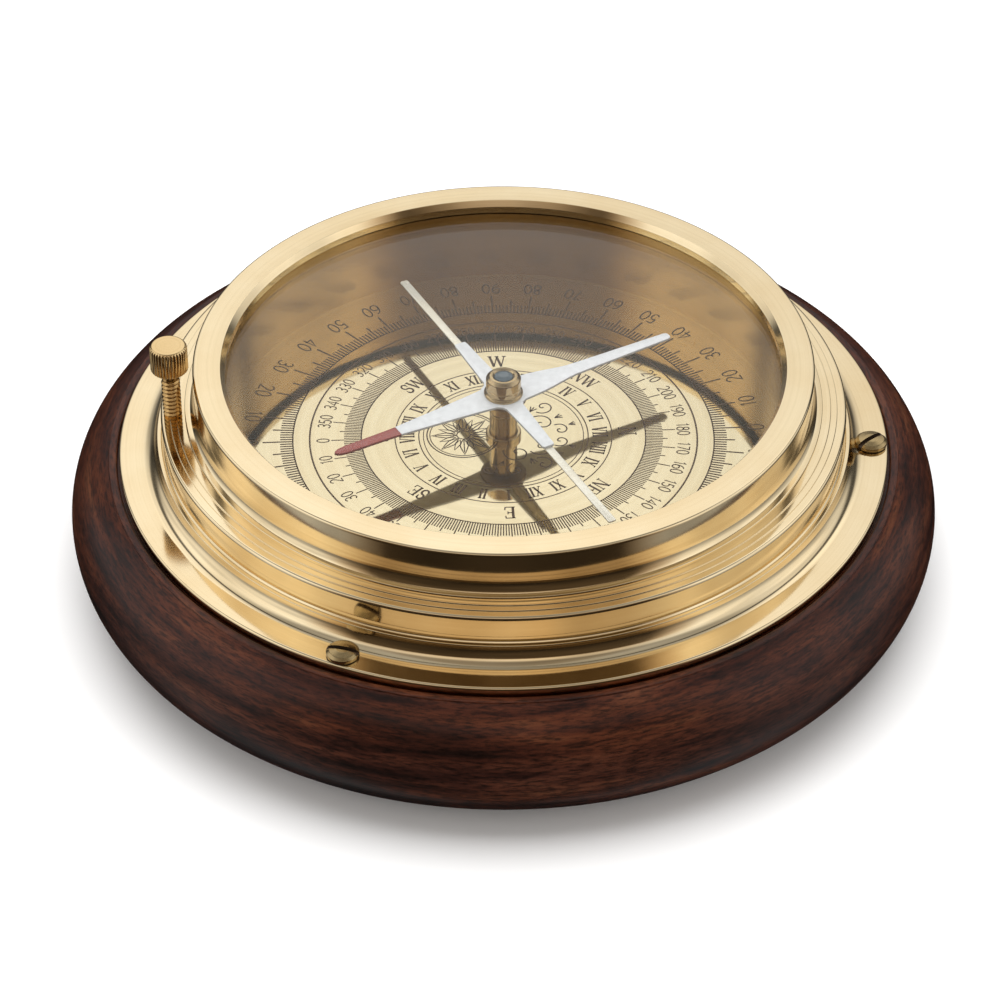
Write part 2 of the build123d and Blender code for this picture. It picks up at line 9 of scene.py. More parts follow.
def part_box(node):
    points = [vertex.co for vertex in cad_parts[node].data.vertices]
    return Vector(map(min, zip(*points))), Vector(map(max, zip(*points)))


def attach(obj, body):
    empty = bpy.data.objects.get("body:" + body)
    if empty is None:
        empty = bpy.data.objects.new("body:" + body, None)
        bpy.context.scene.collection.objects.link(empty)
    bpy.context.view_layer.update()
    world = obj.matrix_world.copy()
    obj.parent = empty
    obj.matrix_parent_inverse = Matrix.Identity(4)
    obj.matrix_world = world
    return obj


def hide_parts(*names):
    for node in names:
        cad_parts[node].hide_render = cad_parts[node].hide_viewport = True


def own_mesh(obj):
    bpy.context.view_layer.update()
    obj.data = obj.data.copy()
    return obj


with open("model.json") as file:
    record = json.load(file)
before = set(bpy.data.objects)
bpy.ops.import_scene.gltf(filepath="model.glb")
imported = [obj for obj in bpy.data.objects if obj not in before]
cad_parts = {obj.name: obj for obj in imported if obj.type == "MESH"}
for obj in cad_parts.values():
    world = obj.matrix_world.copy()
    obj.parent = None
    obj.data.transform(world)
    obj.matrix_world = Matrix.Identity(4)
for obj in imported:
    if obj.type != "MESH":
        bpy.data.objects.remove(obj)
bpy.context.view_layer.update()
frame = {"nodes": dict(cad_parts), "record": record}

MM = 0.001
SEGMENTS = 288
ARC_STEPS = 7
GUARD = 0.07 * MM
WELD = 0.0004 * MM
CREASE = math.radians(32)


# ---- sizes read from the frame
def reach(node):
    """Radius of a node that is turned about the compass's main axis."""
    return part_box(node)[1][0]


def floor_of(node):
    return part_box(node)[0][2]


def top_of(node):
    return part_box(node)[1][2]


def heights_of(node):
    return floor_of(node), top_of(node)


def middle_of(node):
    low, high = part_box(node)
    return ((low[0] + high[0]) / 2, (low[1] + high[1]) / 2)


# ---- node helpers
def new_material(name, **values):
    """A material and its tree, with the given numbers set on the Principled shader's own sockets."""
    material = bpy.data.materials.new(name)
    material.use_nodes = True
    tree = material.node_tree
    surface = tree.nodes["Principled BSDF"]
    for socket, value in values.items():
        surface.inputs[socket.replace("_", " ")].default_value = value
    return material, tree, surface


def drive(surface, **outputs):
    """Links other nodes' outputs to the Principled shader's sockets."""
    for socket, output in outputs.items():
        surface.id_data.links.new(output, surface.inputs[socket.replace("_", " ")])


def add(tree, kind, sockets=None, **settings):
    """Adds a shader node. A socket's value is either a number, a colour or another node's output."""
    made = tree.nodes.new("ShaderNode" + kind)
    for name, value in settings.items():
        setattr(made, name, value)
    for socket, value in (sockets or {}).items():
        if isinstance(value, bpy.types.NodeSocket):
            tree.links.new(value, made.inputs[socket])
        else:
            made.inputs[socket].default_value = value
    return made


def math_node(tree, operation, first, second=0.0):
    return add(tree, "Math", {0: first, 1: second}, operation=operation).outputs[0]


def vector_node(tree, operation, sockets):
    return add(tree, "VectorMath", sockets, operation=operation).outputs[0]


def length_node(tree, vector):
    return add(tree, "VectorMath", {0: vector}, operation="LENGTH").outputs["Value"]


def product(tree, first, second):
    return math_node(tree, "MULTIPLY", first, second)


def ramp(tree, factor, stops):
    """A colour ramp from a list of (place, colour)."""
    made = add(tree, "ValToRGB", {"Fac": factor})
    elements = made.color_ramp.elements
    while len(elements) < len(stops):
        elements.new(0.5)
    for element, (place, colour) in zip(elements, stops):
        element.position = place
        element.color = (*colour, 1.0)
    return made.outputs["Color"]


def spread(tree, value, low, high, to_low, to_high):
    """Maps a value from one range to another, clamped."""
    sockets = {"Value": value, "From Min": low, "From Max": high, "To Min": to_low, "To Max": to_high}
    return add(tree, "MapRange", sockets).outputs["Result"]


def noise(tree, vector, scale, detail=4.0, roughness=0.5):
    sockets = {"Vector": vector, "Scale": scale, "Detail": detail, "Roughness": roughness}
    return add(tree, "TexNoise", sockets).outputs["Fac"]


def object_place(tree):
    return add(tree, "TexCoord").outputs["Object"]


def turned_place(tree, centre=(0.0, 0.0)):
    """(radius, height, 0) about an upright axis: a pattern on it runs in circles, as tool marks do."""
    moved = vector_node(tree, "SUBTRACT", {0: object_place(tree), 1: (*centre, 0.0)})
    parts = add(tree, "SeparateXYZ", {0: moved}).outputs
    flat = add(tree, "CombineXYZ", {"X": parts["X"], "Y": parts["Y"]}).outputs[0]
    return add(tree, "CombineXYZ", {"X": length_node(tree, flat), "Y": parts["Z"]}).outputs[0]


def bump(tree, height, distance, strength=1.0, normal=None):
    sockets = {"Height": height, "Distance": distance, "Strength": strength}
    if normal is not None:
        sockets["Normal"] = normal
    return add(tree, "Bump", sockets).outputs["Normal"]


def multiply(tree, first, second, share=1.0):
    made = add(tree, "Mix", {"Factor": share, 6: first, 7: second}, data_type="RGBA", blend_type="MULTIPLY")
    return made.outputs[2]


# ---- materials
def brass(name, tint, roughness, groove_spacing, groove_depth, centre=(0.0, 0.0), tarnish=0.2, drawn=0.0,
          uneven=0.4, metallic=1.0):
    """Turned brass: circular tool marks, slight waviness from polishing, and faint tarnish in patches."""
    material, tree, surface = new_material(name, Metallic=metallic, Anisotropic=drawn)
    spot = object_place(tree)
    rings = turned_place(tree, centre)
    patches = noise(tree, spot, 55.0, 5.0, 0.6)
    worn = [channel * (1.0 - tarnish * loss) for channel, loss in zip(tint, (0.35, 0.6, 1.0))]
    streaks = noise(tree, rings, 0.4 / groove_spacing, 4.0, 0.65)
    faint = ramp(tree, streaks, [(0.35, (0.93, 0.91, 0.88)), (0.6, (1.0, 1.0, 1.0))])
    smudges = noise(tree, spot, 120.0, 6.0, 0.65)
    marks = noise(tree, rings, 1.0 / groove_spacing, 3.0, 0.6)
    wavy = bump(tree, noise(tree, spot, 45.0, 1.0), 0.03 * MM, 0.12)
    drive(
        surface,
        Base_Color=multiply(tree, ramp(tree, patches, [(0.35, tint), (0.75, worn)]), faint),
        Roughness=spread(tree, smudges, 0.3, 0.8, roughness * (1 - 0.7 * uneven), roughness * (1 + uneven)),
        Normal=bump(tree, marks, groove_depth, 0.5, wavy),
        Tangent=add(tree, "Tangent", direction_type="RADIAL", axis="Z").outputs["Tangent"],
    )
    return material


def flecked(name, colour, roughness, scale, detail, fineness, dark, wear, depth, **values):
    """Material with fine flecks that darken it, roughen it and stand out from it a little."""
    material, tree, surface = new_material(name, **values)
    flecks = noise(tree, object_place(tree), scale, detail, fineness)
    darker = [channel * dark for channel in colour]
    drive(
        surface,
        Base_Color=ramp(tree, flecks, [(0.3, darker), (0.7, colour)]),
        Roughness=spread(tree, flecks, 0.3, 0.7, roughness * wear[0], roughness * wear[1]),
        Normal=bump(tree, flecks, depth, 0.3),
    )
    return material


def plain_metal(name, colour, roughness, scale):
    return flecked(name, colour, roughness, scale, 5.0, 0.6, 0.8, (0.7, 1.4), 0.004 * MM, Metallic=1.0)


def painted(name, colour, roughness, scale=900.0, coat=0.3):
    return flecked(name, colour, roughness, scale, 4.0, 0.5, 0.86, (0.8, 1.3), 0.005 * MM,
                   Coat_Weight=coat, Coat_Roughness=0.1)


def grain(tree, around, across, detail, roughness):
    """Noise drawn out round the disc: cells per radian round it, and per metre across the section."""
    spot = object_place(tree)
    flat = vector_node(tree, "MULTIPLY", {0: spot, 1: (1.0, 1.0, 0.0)})
    radius = length_node(tree, flat)
    ring = vector_node(tree, "SCALE", {0: vector_node(tree, "NORMALIZE", {0: flat}), "Scale": around})
    depth = add(tree, "CombineXYZ", {"Z": product(tree, radius, across)}).outputs[0]
    height = add(tree, "SeparateXYZ", {0: spot}).outputs["Z"]
    sockets = {
        "Vector": vector_node(tree, "ADD", {0: ring, 1: depth}),
        "W": product(tree, height, across),
        "Scale": 1.0,
        "Detail": detail,
        "Roughness": roughness,
        "Distortion": 0.25,
    }
    return add(tree, "TexNoise", sockets, noise_dimensions="4D").outputs["Fac"]


WOOD_TONES = [
    (0.37, (0.008, 0.0020, 0.0010)),
    (0.47, (0.033, 0.0070, 0.0026)),
    (0.57, (0.066, 0.0162, 0.0056)),
    (0.71, (0.120, 0.0390, 0.0148)),
]


def rosewood():
    """Dark red-brown wood, its figure drawn out along the rim, with pores, under a soft wax polish."""
    material, tree, surface = new_material(
        "rosewood", Roughness=0.45, IOR=1.28, Coat_Weight=0.30, Coat_Roughness=0.20, Coat_IOR=1.36
    )
    bands = grain(tree, 3.0, 430.0, 5.0, 0.54)
    pores = grain(tree, 34.0, 2600.0, 3.0, 0.6)
    clouds = noise(tree, object_place(tree), 34.0, 3.0, 0.55)
    tone = math_node(tree, "ADD", product(tree, bands, 0.65), product(tree, clouds, 0.35))
    streaks = spread(tree, pores, 0.36, 0.58, 0.28, 1.0)
    drive(
        surface,
        Base_Color=multiply(tree, ramp(tree, tone, WOOD_TONES), streaks),
        Normal=bump(tree, pores, 0.012 * MM, 0.2),
        Coat_Normal=bump(tree, bands, 0.05 * MM, 0.25),
    )
    return material


def glass():
    """Thin clear glass: what lies under it is seen straight, and its reflection grows at a grazing view."""
    material, tree, surface = new_material("cover_glass_clear")
    tree.nodes.remove(surface)
    smears = noise(tree, object_place(tree), 30.0, 4.0)
    tint = ramp(tree, smears, [(0.3, (0.985, 0.990, 0.985)), (0.7, (0.995, 0.997, 0.995))])
    clear = add(tree, "BsdfTransparent", {"Color": tint})
    shine = add(tree, "BsdfGlossy", {"Color": (1.0, 1.0, 1.0, 1.0), "Roughness": 0.0})
    facing = add(tree, "LayerWeight", {"Blend": 0.5}).outputs["Facing"]
    grazing = math_node(tree, "POWER", facing, 5.0)
    bloom = spread(tree, grazing, 0.006, 0.030, 0.004, 0.115)
    share = math_node(tree, "MAXIMUM", product(tree, grazing, 0.90), bloom)
    mixed = add(tree, "MixShader", {0: share, 1: clear.outputs[0], 2: shine.outputs[0]})
    tree.links.new(mixed.outputs[0], tree.nodes["Material Output"].inputs["Surface"])
    return material


def felt():
    material, tree, surface = new_material(
        "green_felt", Roughness=0.95, Sheen_Weight=0.4, Sheen_Roughness=0.5
    )
    fibres = noise(tree, object_place(tree), 1800.0, 6.0, 0.75)
    drive(
        surface,
        Base_Color=ramp(tree, fibres, [(0.3, (0.006, 0.018, 0.010)), (0.7, (0.028, 0.065, 0.040))]),
        Normal=bump(tree, fibres, 0.08 * MM, 0.8),
    )
    return material


screw_centre = middle_of("lock_screw")
satin_brass = brass("satin_brass", (0.55, 0.38, 0.185), 0.25, 0.25 * MM, 0.002 * MM, tarnish=0.1, drawn=0.2,
                    uneven=0.05)
screw_head_brass = brass("screw_head_brass", (0.80, 0.60, 0.32), 0.14, 0.15 * MM, 0.002 * MM, screw_centre)
thread_brass = plain_metal("thread_brass", (0.60, 0.38, 0.15), 0.20, 900.0)
# near-black painted shade for the screw slots and the ring round the foot of each screw head
recess_shade = painted("painted_recess_shade", (0.030, 0.016, 0.007), 0.5, coat=0.0)
# dark brown painted shade and painted reflection of the brass dial, for the hub's shaded underside
underside_shade = painted("needle_underside", (0.20, 0.12, 0.06), 0.4, coat=0.1)
red_enamel = painted("red_enamel", (0.25, 0.064, 0.052), 0.35)
ink = painted("engraving_ink", (0.060, 0.034, 0.016), 0.5, coat=0.0)

SLOT_FINISH = {
    "rosewood": rosewood(),
    "felt": felt(),
    "polished_brass": brass("polished_brass", (0.86, 0.710, 0.460), 0.10, 0.35 * MM, 0.0008 * MM,
                            drawn=0.65),
    "screw_brass": plain_metal("screw_brass", (0.46, 0.34, 0.17), 0.24, 700.0),
    "turned_brass": brass("turned_brass", (0.55, 0.42, 0.24), 0.17, 0.15 * MM, 0.003 * MM),
    "dial_brass": brass("dial_brass", (0.79, 0.675, 0.445), 0.06, 0.5 * MM, 0.0004 * MM, tarnish=0.1,
                        uneven=0.1, metallic=0.97),
    "needle_white": painted("white_enamel", (0.60, 0.605, 0.62), 0.35),
    "bright_strip": brass("strip_brass", (0.74, 0.71, 0.62), 0.26, 0.12 * MM, 0.002 * MM, metallic=0.45),
    "jewel": painted("grey_stone", (0.075, 0.095, 0.108), 0.12, 1500.0),
    "steel": plain_metal("steel", (0.50, 0.50, 0.52), 0.3, 500.0),
    "gasket": painted("black_rubber", (0.012, 0.012, 0.012), 0.6, coat=0.0),
    "glass": glass(),
}
for subpart in frame["record"]["subparts"]:
    cad_object = frame["nodes"][subpart["node"]]
    cad_object.data.materials.clear()
    cad_object.data.materials.append(SLOT_FINISH[subpart["material_slot"]])


# ---- mesh helpers
def editable(mesh):
    shape = bmesh.new()
    shape.from_mesh(mesh)
    return shape


def written(shape, mesh):
    """Writes an edited shape into a mesh, and gives that mesh back."""
    shape.to_mesh(mesh)
    shape.free()
    return mesh


def finished(mesh):
    """Welds the seams, turns the faces outwards, and shades smooth except across steep edges."""
    shape = editable(mesh)
    bmesh.ops.remove_doubles(shape, verts=shape.verts, dist=WELD)
    bmesh.ops.recalc_face_normals(shape, faces=shape.faces)
    for face in shape.faces:
        face.smooth = True
    for edge in shape.edges:
        edge.smooth = edge.calc_face_angle(0.0) < CREASE
    return written(shape, mesh)


def added(name, data):
    """A new object in the scene."""
    made = bpy.data.objects.new(name, data)
    bpy.context.collection.objects.link(made)
    return made


def put(mesh, body, slot, material=None):
    """Makes a piece under the mesh's name, on a body, with the finish of that slot if no material is given.
    """
    piece = added(mesh.name, mesh)
    mesh.materials.append(material or SLOT_FINISH[slot])
    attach(piece, body)
    return piece


def place(mesh, body, slot, *replaced, material=None):
    """Finishes a mesh and puts it in place of CAD nodes."""
    piece = put(finished(mesh), body, slot, material)
    if replaced:
        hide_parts(*replaced)
    return piece


def arc(centre, start, finish, steps=ARC_STEPS):
    """Points from start to finish along the shorter arc about a centre, both ends included."""
    first = start - centre
    last = finish - centre
    begin = math.atan2(first.y, first.x)
    turn = (math.atan2(last.y, last.x) - begin + math.pi) % math.tau - math.pi
    points = []
    for step in range(steps + 1):
        angle = begin + turn * step / steps
        points.append(centre + Vector((math.cos(angle), math.sin(angle))) * first.length)
    return points


def rounded_corner(before, corner, after, size, steps, longest):
    """Points that round a corner between its neighbours, starting no farther from it than the limit."""
    back_way = (before - corner).normalized()
    on_way = (after - corner).normalized()
    half = back_way.angle(on_way) / 2
    back = min(size / math.tan(half), longest)
    centre = corner + (back_way + on_way).normalized() * back * math.tan(half) / math.sin(half)
    return arc(centre, corner + back_way * back, corner + on_way * back, steps)


def rounded(*corners):
    """Closed outline of (radius, height) points, from corners given as (radius, height, rounding)."""
    places = [Vector(corner[:2]) for corner in corners]
    outline = []
    for index, corner in enumerate(places):
        size = corners[index][2]
        if size == 0:
            outline.append(corner)
        else:
            following = places[(index + 1) % len(places)]
            outline += rounded_corner(places[index - 1], corner, following, size, ARC_STEPS, math.inf)
    return guarded(outline)


def rounded_run(start, *corners):
    """Open run of corners given as (radius, height, rounding), after a start point that isn't repeated."""
    places = [Vector(start[:2])] + [Vector(corner[:2]) for corner in corners]
    points = []
    for index, corner in enumerate(places[1:-1], start=1):
        size = corners[index - 1][2]
        if size == 0:
            points.append(corner)
        else:
            longest = 0.45 * (places[index - 1] - corner).length
            points += rounded_corner(places[index - 1], corner, places[index + 1], size, 5, longest)
    return points + places[-1:]


def guarded(outline):
    """Adds a point close to each end of every long straight stretch, which keeps its shading flat."""
    points = []
    for index, point in enumerate(outline):
        following = outline[(index + 1) % len(outline)]
        points.append(point)
        step = following - point
        if step.length > 6 * GUARD:
            points.append(point + step.normalized() * GUARD)
            points.append(following - step.normalized() * GUARD)
    return points


def round_trip(count):
    """Pairs of each index and the one after it, the last one's being the first."""
    return [(index, (index + 1) % count) for index in range(count)]


def mesh_from(name, points, faces):
    mesh = bpy.data.meshes.new(name)
    mesh.from_pydata(points, [], faces)
    return mesh


def lathe(name, outline, segments=SEGMENTS):
    """Solid of revolution about the main axis, from a closed outline of (radius, height) points."""
    points, faces = [], []
    count = len(outline)
    for turn in range(segments):
        angle = math.tau * turn / segments
        across = Vector((math.cos(angle), math.sin(angle)))
        here = turn * count
        ahead = (turn + 1) % segments * count
        points += [(radius * across.x, radius * across.y, height) for radius, height in outline]
        for index, following in round_trip(count):
            faces.append((here + index, here + following, ahead + following, ahead + index))
    return mesh_from(name, points, faces)


def turned(name, outline, body, slot, replaced, segments=SEGMENTS, material=None):
    """Puts a solid of revolution in place of a CAD node."""
    return place(lathe(name, outline, segments), body, slot, replaced, material=material)


def stacked(name, rings):
    """Closed mesh through rings of points, all with as many points, capped at both ends."""
    points = [point for ring in rings for point in ring]
    count = len(rings[0])
    faces = []
    for row in range(len(rings) - 1):
        low = row * count
        for index, following in round_trip(count):
            faces.append((low + index, low + following, low + count + following, low + count + index))
    for row in (0, len(rings) - 1):
        middle = sum((Vector(point) for point in rings[row]), Vector()) / count
        points.append(tuple(middle))
        for index, following in round_trip(count):
            faces.append((row * count + index, row * count + following, len(points) - 1))
    return mesh_from(name, points, faces)


def plate(name, outline, bottom, top, edge):
    """Flat plate with that outline, its edges slightly broken."""
    count = len(outline)
    points = [(x, y, z) for z in (bottom, top) for x, y in outline]
    faces = [tuple(range(count)), tuple(range(count, 2 * count))]
    for index, following in round_trip(count):
        faces.append((index, following, count + following, count + index))
    mesh = mesh_from(name, points, faces)
    shape = editable(mesh)
    bmesh.ops.recalc_face_normals(shape, faces=shape.faces)
    rims = [rim for rim in shape.edges if abs(rim.verts[0].co.z - rim.verts[1].co.z) < WELD]
    bmesh.ops.bevel(shape, geom=rims, offset=edge, segments=2, affect="EDGES", profile=0.5)
    return written(shape, mesh)


def at_angle(distance, angle):
    """Point at a distance from the main axis, at an angle in degrees from +X."""
    return Vector((distance * math.cos(math.radians(angle)), distance * math.sin(math.radians(angle))))


def left_of(direction):
    return Vector((-direction.y, direction.x))


# ---- wood and felt
SKIN = 0.006 * MM  # how far inside their CAD nodes most of the visible faces stay
WOOD_EDGE = 12.2 * MM
RIDGE_RADIUS = 68.0 * MM
RIDGE_STEP = 0.25 * MM
WELL_RADIUS = 31.0 * MM
WELL_FLOOR = 8.0 * MM


def wood_base():
    outer = reach("wood_base")
    bottom = floor_of("wood_base")
    lip = top_of("wood_base")
    seat = floor_of("flange_body")
    rebate = reach("flange_body") + 0.35 * MM
    centre = Vector((outer - WOOD_EDGE, bottom + WOOD_EDGE))
    widest = Vector((outer, centre.y))
    ridge_foot = Vector((RIDGE_RADIUS, lip - RIDGE_STEP))
    felt_well = reach("felt_pad") + 0.2 * MM
    outline = [
        Vector((0.0, top_of("felt_pad"))),
        Vector((felt_well, top_of("felt_pad"))),
        Vector((felt_well, bottom + 0.3 * MM)),
        Vector((felt_well + 0.3 * MM, bottom)),
    ]
    outline += arc(centre, Vector((centre.x, bottom)), widest, 20)
    outline += arc(centre, widest, ridge_foot, 26)[1:]
    outline += rounded_run(
        ridge_foot,
        (RIDGE_RADIUS - 0.10 * MM, lip - 0.02 * MM, 0.1 * MM),
        (RIDGE_RADIUS - 0.45 * MM, lip, 0.4 * MM),
        (rebate, lip, 0.42 * MM),
        (rebate, seat, 0),
        (WELL_RADIUS, seat, 0),
        (WELL_RADIUS, WELL_FLOOR, 0),
        (0.0, WELL_FLOOR, 0),
    )
    turned("wood_base_turned", outline, "case", "rosewood", "wood_base")


def felt_pad():
    edge = reach("felt_pad") - SKIN
    top = top_of("felt_pad") - SKIN
    outline = rounded((0.0, 0.0, 0), (edge, 0.0, 0.35 * MM), (edge, top, 0.1 * MM), (0.0, top, 0))
    turned("felt_pad_cut", outline, "case", "felt", "felt_pad")


# ---- brass bowl
FLANGE_TOP = 25.5 * MM
BORE = 48.3 * MM
NECK = 50.6 * MM
DIAL_SEAT = 50.7 * MM
DRUM = 58.4 * MM
DRUM_DRAFT = 0.27 * MM
BEAD = DRUM + 1.0 * MM
BEAD_TOP = 28.6 * MM
COVE = 2.8 * MM


def flange_body():
    outer = reach("flange_body") - SKIN
    seat = floor_of("flange_body")
    neck_top = top_of("flange_body")
    dial_top = top_of("dial_plate")
    ledge = floor_of("bezel_ring")
    outline = rounded_run(
        (BORE, dial_top),
        (DIAL_SEAT, dial_top, 0),
        (DIAL_SEAT, seat, 0),
        (outer, seat, 0.3 * MM),
        (outer, FLANGE_TOP, 0.4 * MM),
        (BEAD + COVE, FLANGE_TOP, 0),
    )
    outline += arc(Vector((BEAD + COVE, FLANGE_TOP + COVE)), Vector((BEAD + COVE, FLANGE_TOP)),
                   Vector((BEAD, FLANGE_TOP + COVE)), 14)
    outline += rounded_run(
        outline[-1],
        (BEAD, BEAD_TOP, 0.26 * MM),
        (DRUM + 0.35 * MM, BEAD_TOP, 0.15 * MM),
        (DRUM + 0.12 * MM, BEAD_TOP - 0.15 * MM, 0.08 * MM),
        (DRUM - DRUM_DRAFT / 2, BEAD_TOP + 0.15 * MM, 0.12 * MM),
        (DRUM + DRUM_DRAFT / 2, ledge - 0.4 * MM, 0.5 * MM),
        (DRUM - 1.5 * MM, ledge - 0.4 * MM, 0.05 * MM),
        (DRUM - 1.5 * MM, ledge - 0.2 * MM, 0.08 * MM),
        (DRUM - 2.6 * MM, ledge - 0.2 * MM, 0.05 * MM),
        (DRUM - 2.6 * MM, ledge, 0.08 * MM),
        (NECK, ledge, 0),
        (NECK, neck_top, 0),
        (BORE, neck_top, 0),
        (BORE, dial_top, 0),
    )
    bowl = turned("bowl_turned", guarded(outline), "case", "polished_brass", "flange_body")
    bowl.data.materials.append(satin_brass)
    inside = BORE + 0.05 * MM
    for face in bowl.data.polygons:
        if face.center.xy.length < inside:
            face.material_index = 1
    low, high = heights_of("glass_retaining_ring")
    outer = reach("glass_retaining_ring") - SKIN
    outline = rounded((inside, low, 0.1 * MM), (outer, low, 0.1 * MM), (outer, high, 0.1 * MM),
                      (inside, high, 0.15 * MM))
    turned("retaining_ring_turned", outline, "case", "polished_brass", "glass_retaining_ring",
           material=satin_brass)


def bezel_ring():
    """Ring with a coved foot and a flat top, whose inner edge is a deep bevel down to the opening."""
    outer = 52.7 * MM
    opening = 47.2 * MM
    inner = NECK + 0.1 * MM
    foot = reach("bezel_ring") - SKIN
    bottom = floor_of("bezel_ring")
    top = top_of("bezel_ring")
    lip = top_of("glass_gasket")
    step = Vector((foot - 0.95 * MM, bottom + 0.42 * MM))
    rise, width = 1.9 * MM, step.x - outer
    sweep = (width ** 2 + rise ** 2) / (2 * width)
    outline = [Vector((inner, lip)), Vector((inner, bottom)), Vector((foot, bottom))]
    outline += rounded_run(outline[-1], (foot, bottom + 0.36 * MM, 0.14 * MM), (step.x, step.y, 0))
    outline += arc(Vector((outer + sweep, step.y + rise)), step, Vector((outer, step.y + rise)), 12)[1:]
    outline += rounded_run(
        outline[-1],
        (outer, top, 0.45 * MM),
        (opening + 0.8 * MM, top, 0.07 * MM),
        (opening, top - 1.08 * MM, 0.1 * MM),
        (opening, lip, 0),
        (inner, lip, 0),
    )
    turned("bezel_turned", guarded(outline), "case", "polished_brass", "bezel_ring")


def cover_glass():
    low, high = heights_of("cover_glass")
    edge = reach("cover_glass") - SKIN
    bevel = 0.2 * MM
    outline = rounded((0.0, low, 0), (edge, low, bevel), (edge, high, bevel), (0.0, high, 0))
    turned("glass_disc", outline, "case", "glass", "cover_glass")


BUSH_SHANK = 2.8 * MM
BUSH_BORE = 2.46 * MM


def dial_plate():
    low, high = heights_of("dial_plate")
    hole, edge = BUSH_SHANK + 0.06 * MM, reach("dial_plate") - SKIN
    outline = rounded((hole, low, 0), (edge, low, 0), (edge, high, 0.02 * MM), (hole, high, 0.02 * MM))
    turned("dial_turned", outline, "case", "dial_brass", "dial_plate")


SCREW_RING = 63.2 * MM
SCREW_PLACES = ((-2.5, 39.0), (114.0, 70.0), (246.0, -15.0))  # angle round the flange, and the slot's own
SLOT_HALF = 0.42 * MM


def flange_screws():
    """Slotted round heads on plain shanks, as one piece."""
    top = top_of("flange_screws")
    head = 2.7 * MM - SKIN
    shank = 1.4 * MM
    joined = bmesh.new()
    for angle, slot in SCREW_PLACES:
        outline = rounded(
            (0.0, 15.0 * MM, 0),
            (0.8 * MM, 15.4 * MM, 0.1 * MM),
            (shank, 16.6 * MM, 0.3 * MM),
            (shank, FLANGE_TOP, 0),
            (head - 0.16 * MM, FLANGE_TOP, 0),
            (head, FLANGE_TOP + 0.2 * MM, 0.05 * MM),
            (head, FLANGE_TOP + 0.72 * MM, 0.16 * MM),
            (head - 0.5 * MM, top - 0.28 * MM, 0.5 * MM),
            (1.1 * MM, top - 0.05 * MM, 1.0 * MM),
            (0.0, top, 0),
        )
        mesh = finished(lathe("flange_screw", outline, segments=96))
        carved_head = carved(mesh, block(2 * head, SLOT_HALF, top - 0.75 * MM, top + 1.0 * MM))
        # the slot faces and the foot of each head get the near-black painted shade
        for face in carved_head.polygons:
            foot_of_head = face.center.z < FLANGE_TOP + 0.15 * MM
            face.material_index = int(foot_of_head or abs(face.center.y) < SLOT_HALF * 1.001)
        carved_head.transform(Matrix.Translation(at_angle(SCREW_RING, angle).to_3d())
                              @ Matrix.Rotation(math.radians(slot), 4, "Z"))
        joined.from_mesh(carved_head)
    mesh = written(joined, bpy.data.meshes.new("flange_screws_slotted"))
    place(mesh, "case", "screw_brass", "flange_screws")
    mesh.materials.append(recess_shade)


def block(half_x, half_y, low, high):
    corners = ((-half_x, -half_y), (half_x, -half_y), (half_x, half_y), (-half_x, half_y))
    points = [(x, y, z) for z in (low, high) for x, y in corners]
    faces = [(3, 2, 1, 0), (4, 5, 6, 7), (0, 1, 5, 4), (1, 2, 6, 5), (2, 3, 7, 6), (3, 0, 4, 7)]
    return mesh_from("slot_cutter", points, faces)


def carved(mesh, cutter):
    """The mesh with the cutter's volume taken out of it."""
    body = added("carved", mesh)
    tool = added("cutter", cutter)
    cut = body.modifiers.new("cut", "BOOLEAN")
    cut.operation = "DIFFERENCE"
    cut.solver = "EXACT"
    cut.object = tool
    result = bpy.data.meshes.new_from_object(body.evaluated_get(bpy.context.evaluated_depsgraph_get()))
    for made in (body, tool):
        bpy.data.objects.remove(made)
    return result


# ---- needle lock
PITCH = 0.8 * MM
THREAD_DEPTH = 0.30 * MM
TEETH = 34
PER_TOOTH = 12
HEAD_LOW = 42.85 * MM


def screw_ring(height, distances):
    """Level ring about the lock screw's axis, its points at those distances, evenly spaced."""
    ring = []
    for step, distance in enumerate(distances):
        turn = math.tau * step / len(distances)
        ring.append((screw_centre[0] + distance * math.cos(turn),
                     screw_centre[1] + distance * math.sin(turn), height))
    return ring


def knurled_head():
    """Straight-knurled head: rounded teeth with a plain chamfer above and below, and a flat top."""
    top = top_of("lock_screw")
    outer = 3.2 * MM - SKIN
    root = outer - 0.27 * MM
    levels = [
        (HEAD_LOW, root - 0.32 * MM, 0.0),
        (HEAD_LOW + 0.10 * MM, root - 0.12 * MM, 0.0),
        (HEAD_LOW + 0.28 * MM, root + 0.02 * MM, 0.45),
        (HEAD_LOW + 0.48 * MM, root, 1.0),
        (top - 0.52 * MM, root, 1.0),
        (top - 0.30 * MM, root + 0.01 * MM, 0.55),
        (top - 0.13 * MM, root - 0.02 * MM, 0.0),
        (top - 0.04 * MM, root - 0.10 * MM, 0.0),
        (top, root - 0.22 * MM, 0.0),
        (top, root - 0.30 * MM, 0.0),
    ]
    phases = [math.pi * step / PER_TOOTH for step in range(TEETH * PER_TOOTH)]
    swell = [(outer - root) * abs(math.cos(phase)) ** 0.8 for phase in phases]
    rings = [screw_ring(height, [base + share * rise for rise in swell]) for height, base, share in levels]
    return stacked("lock_head", rings)


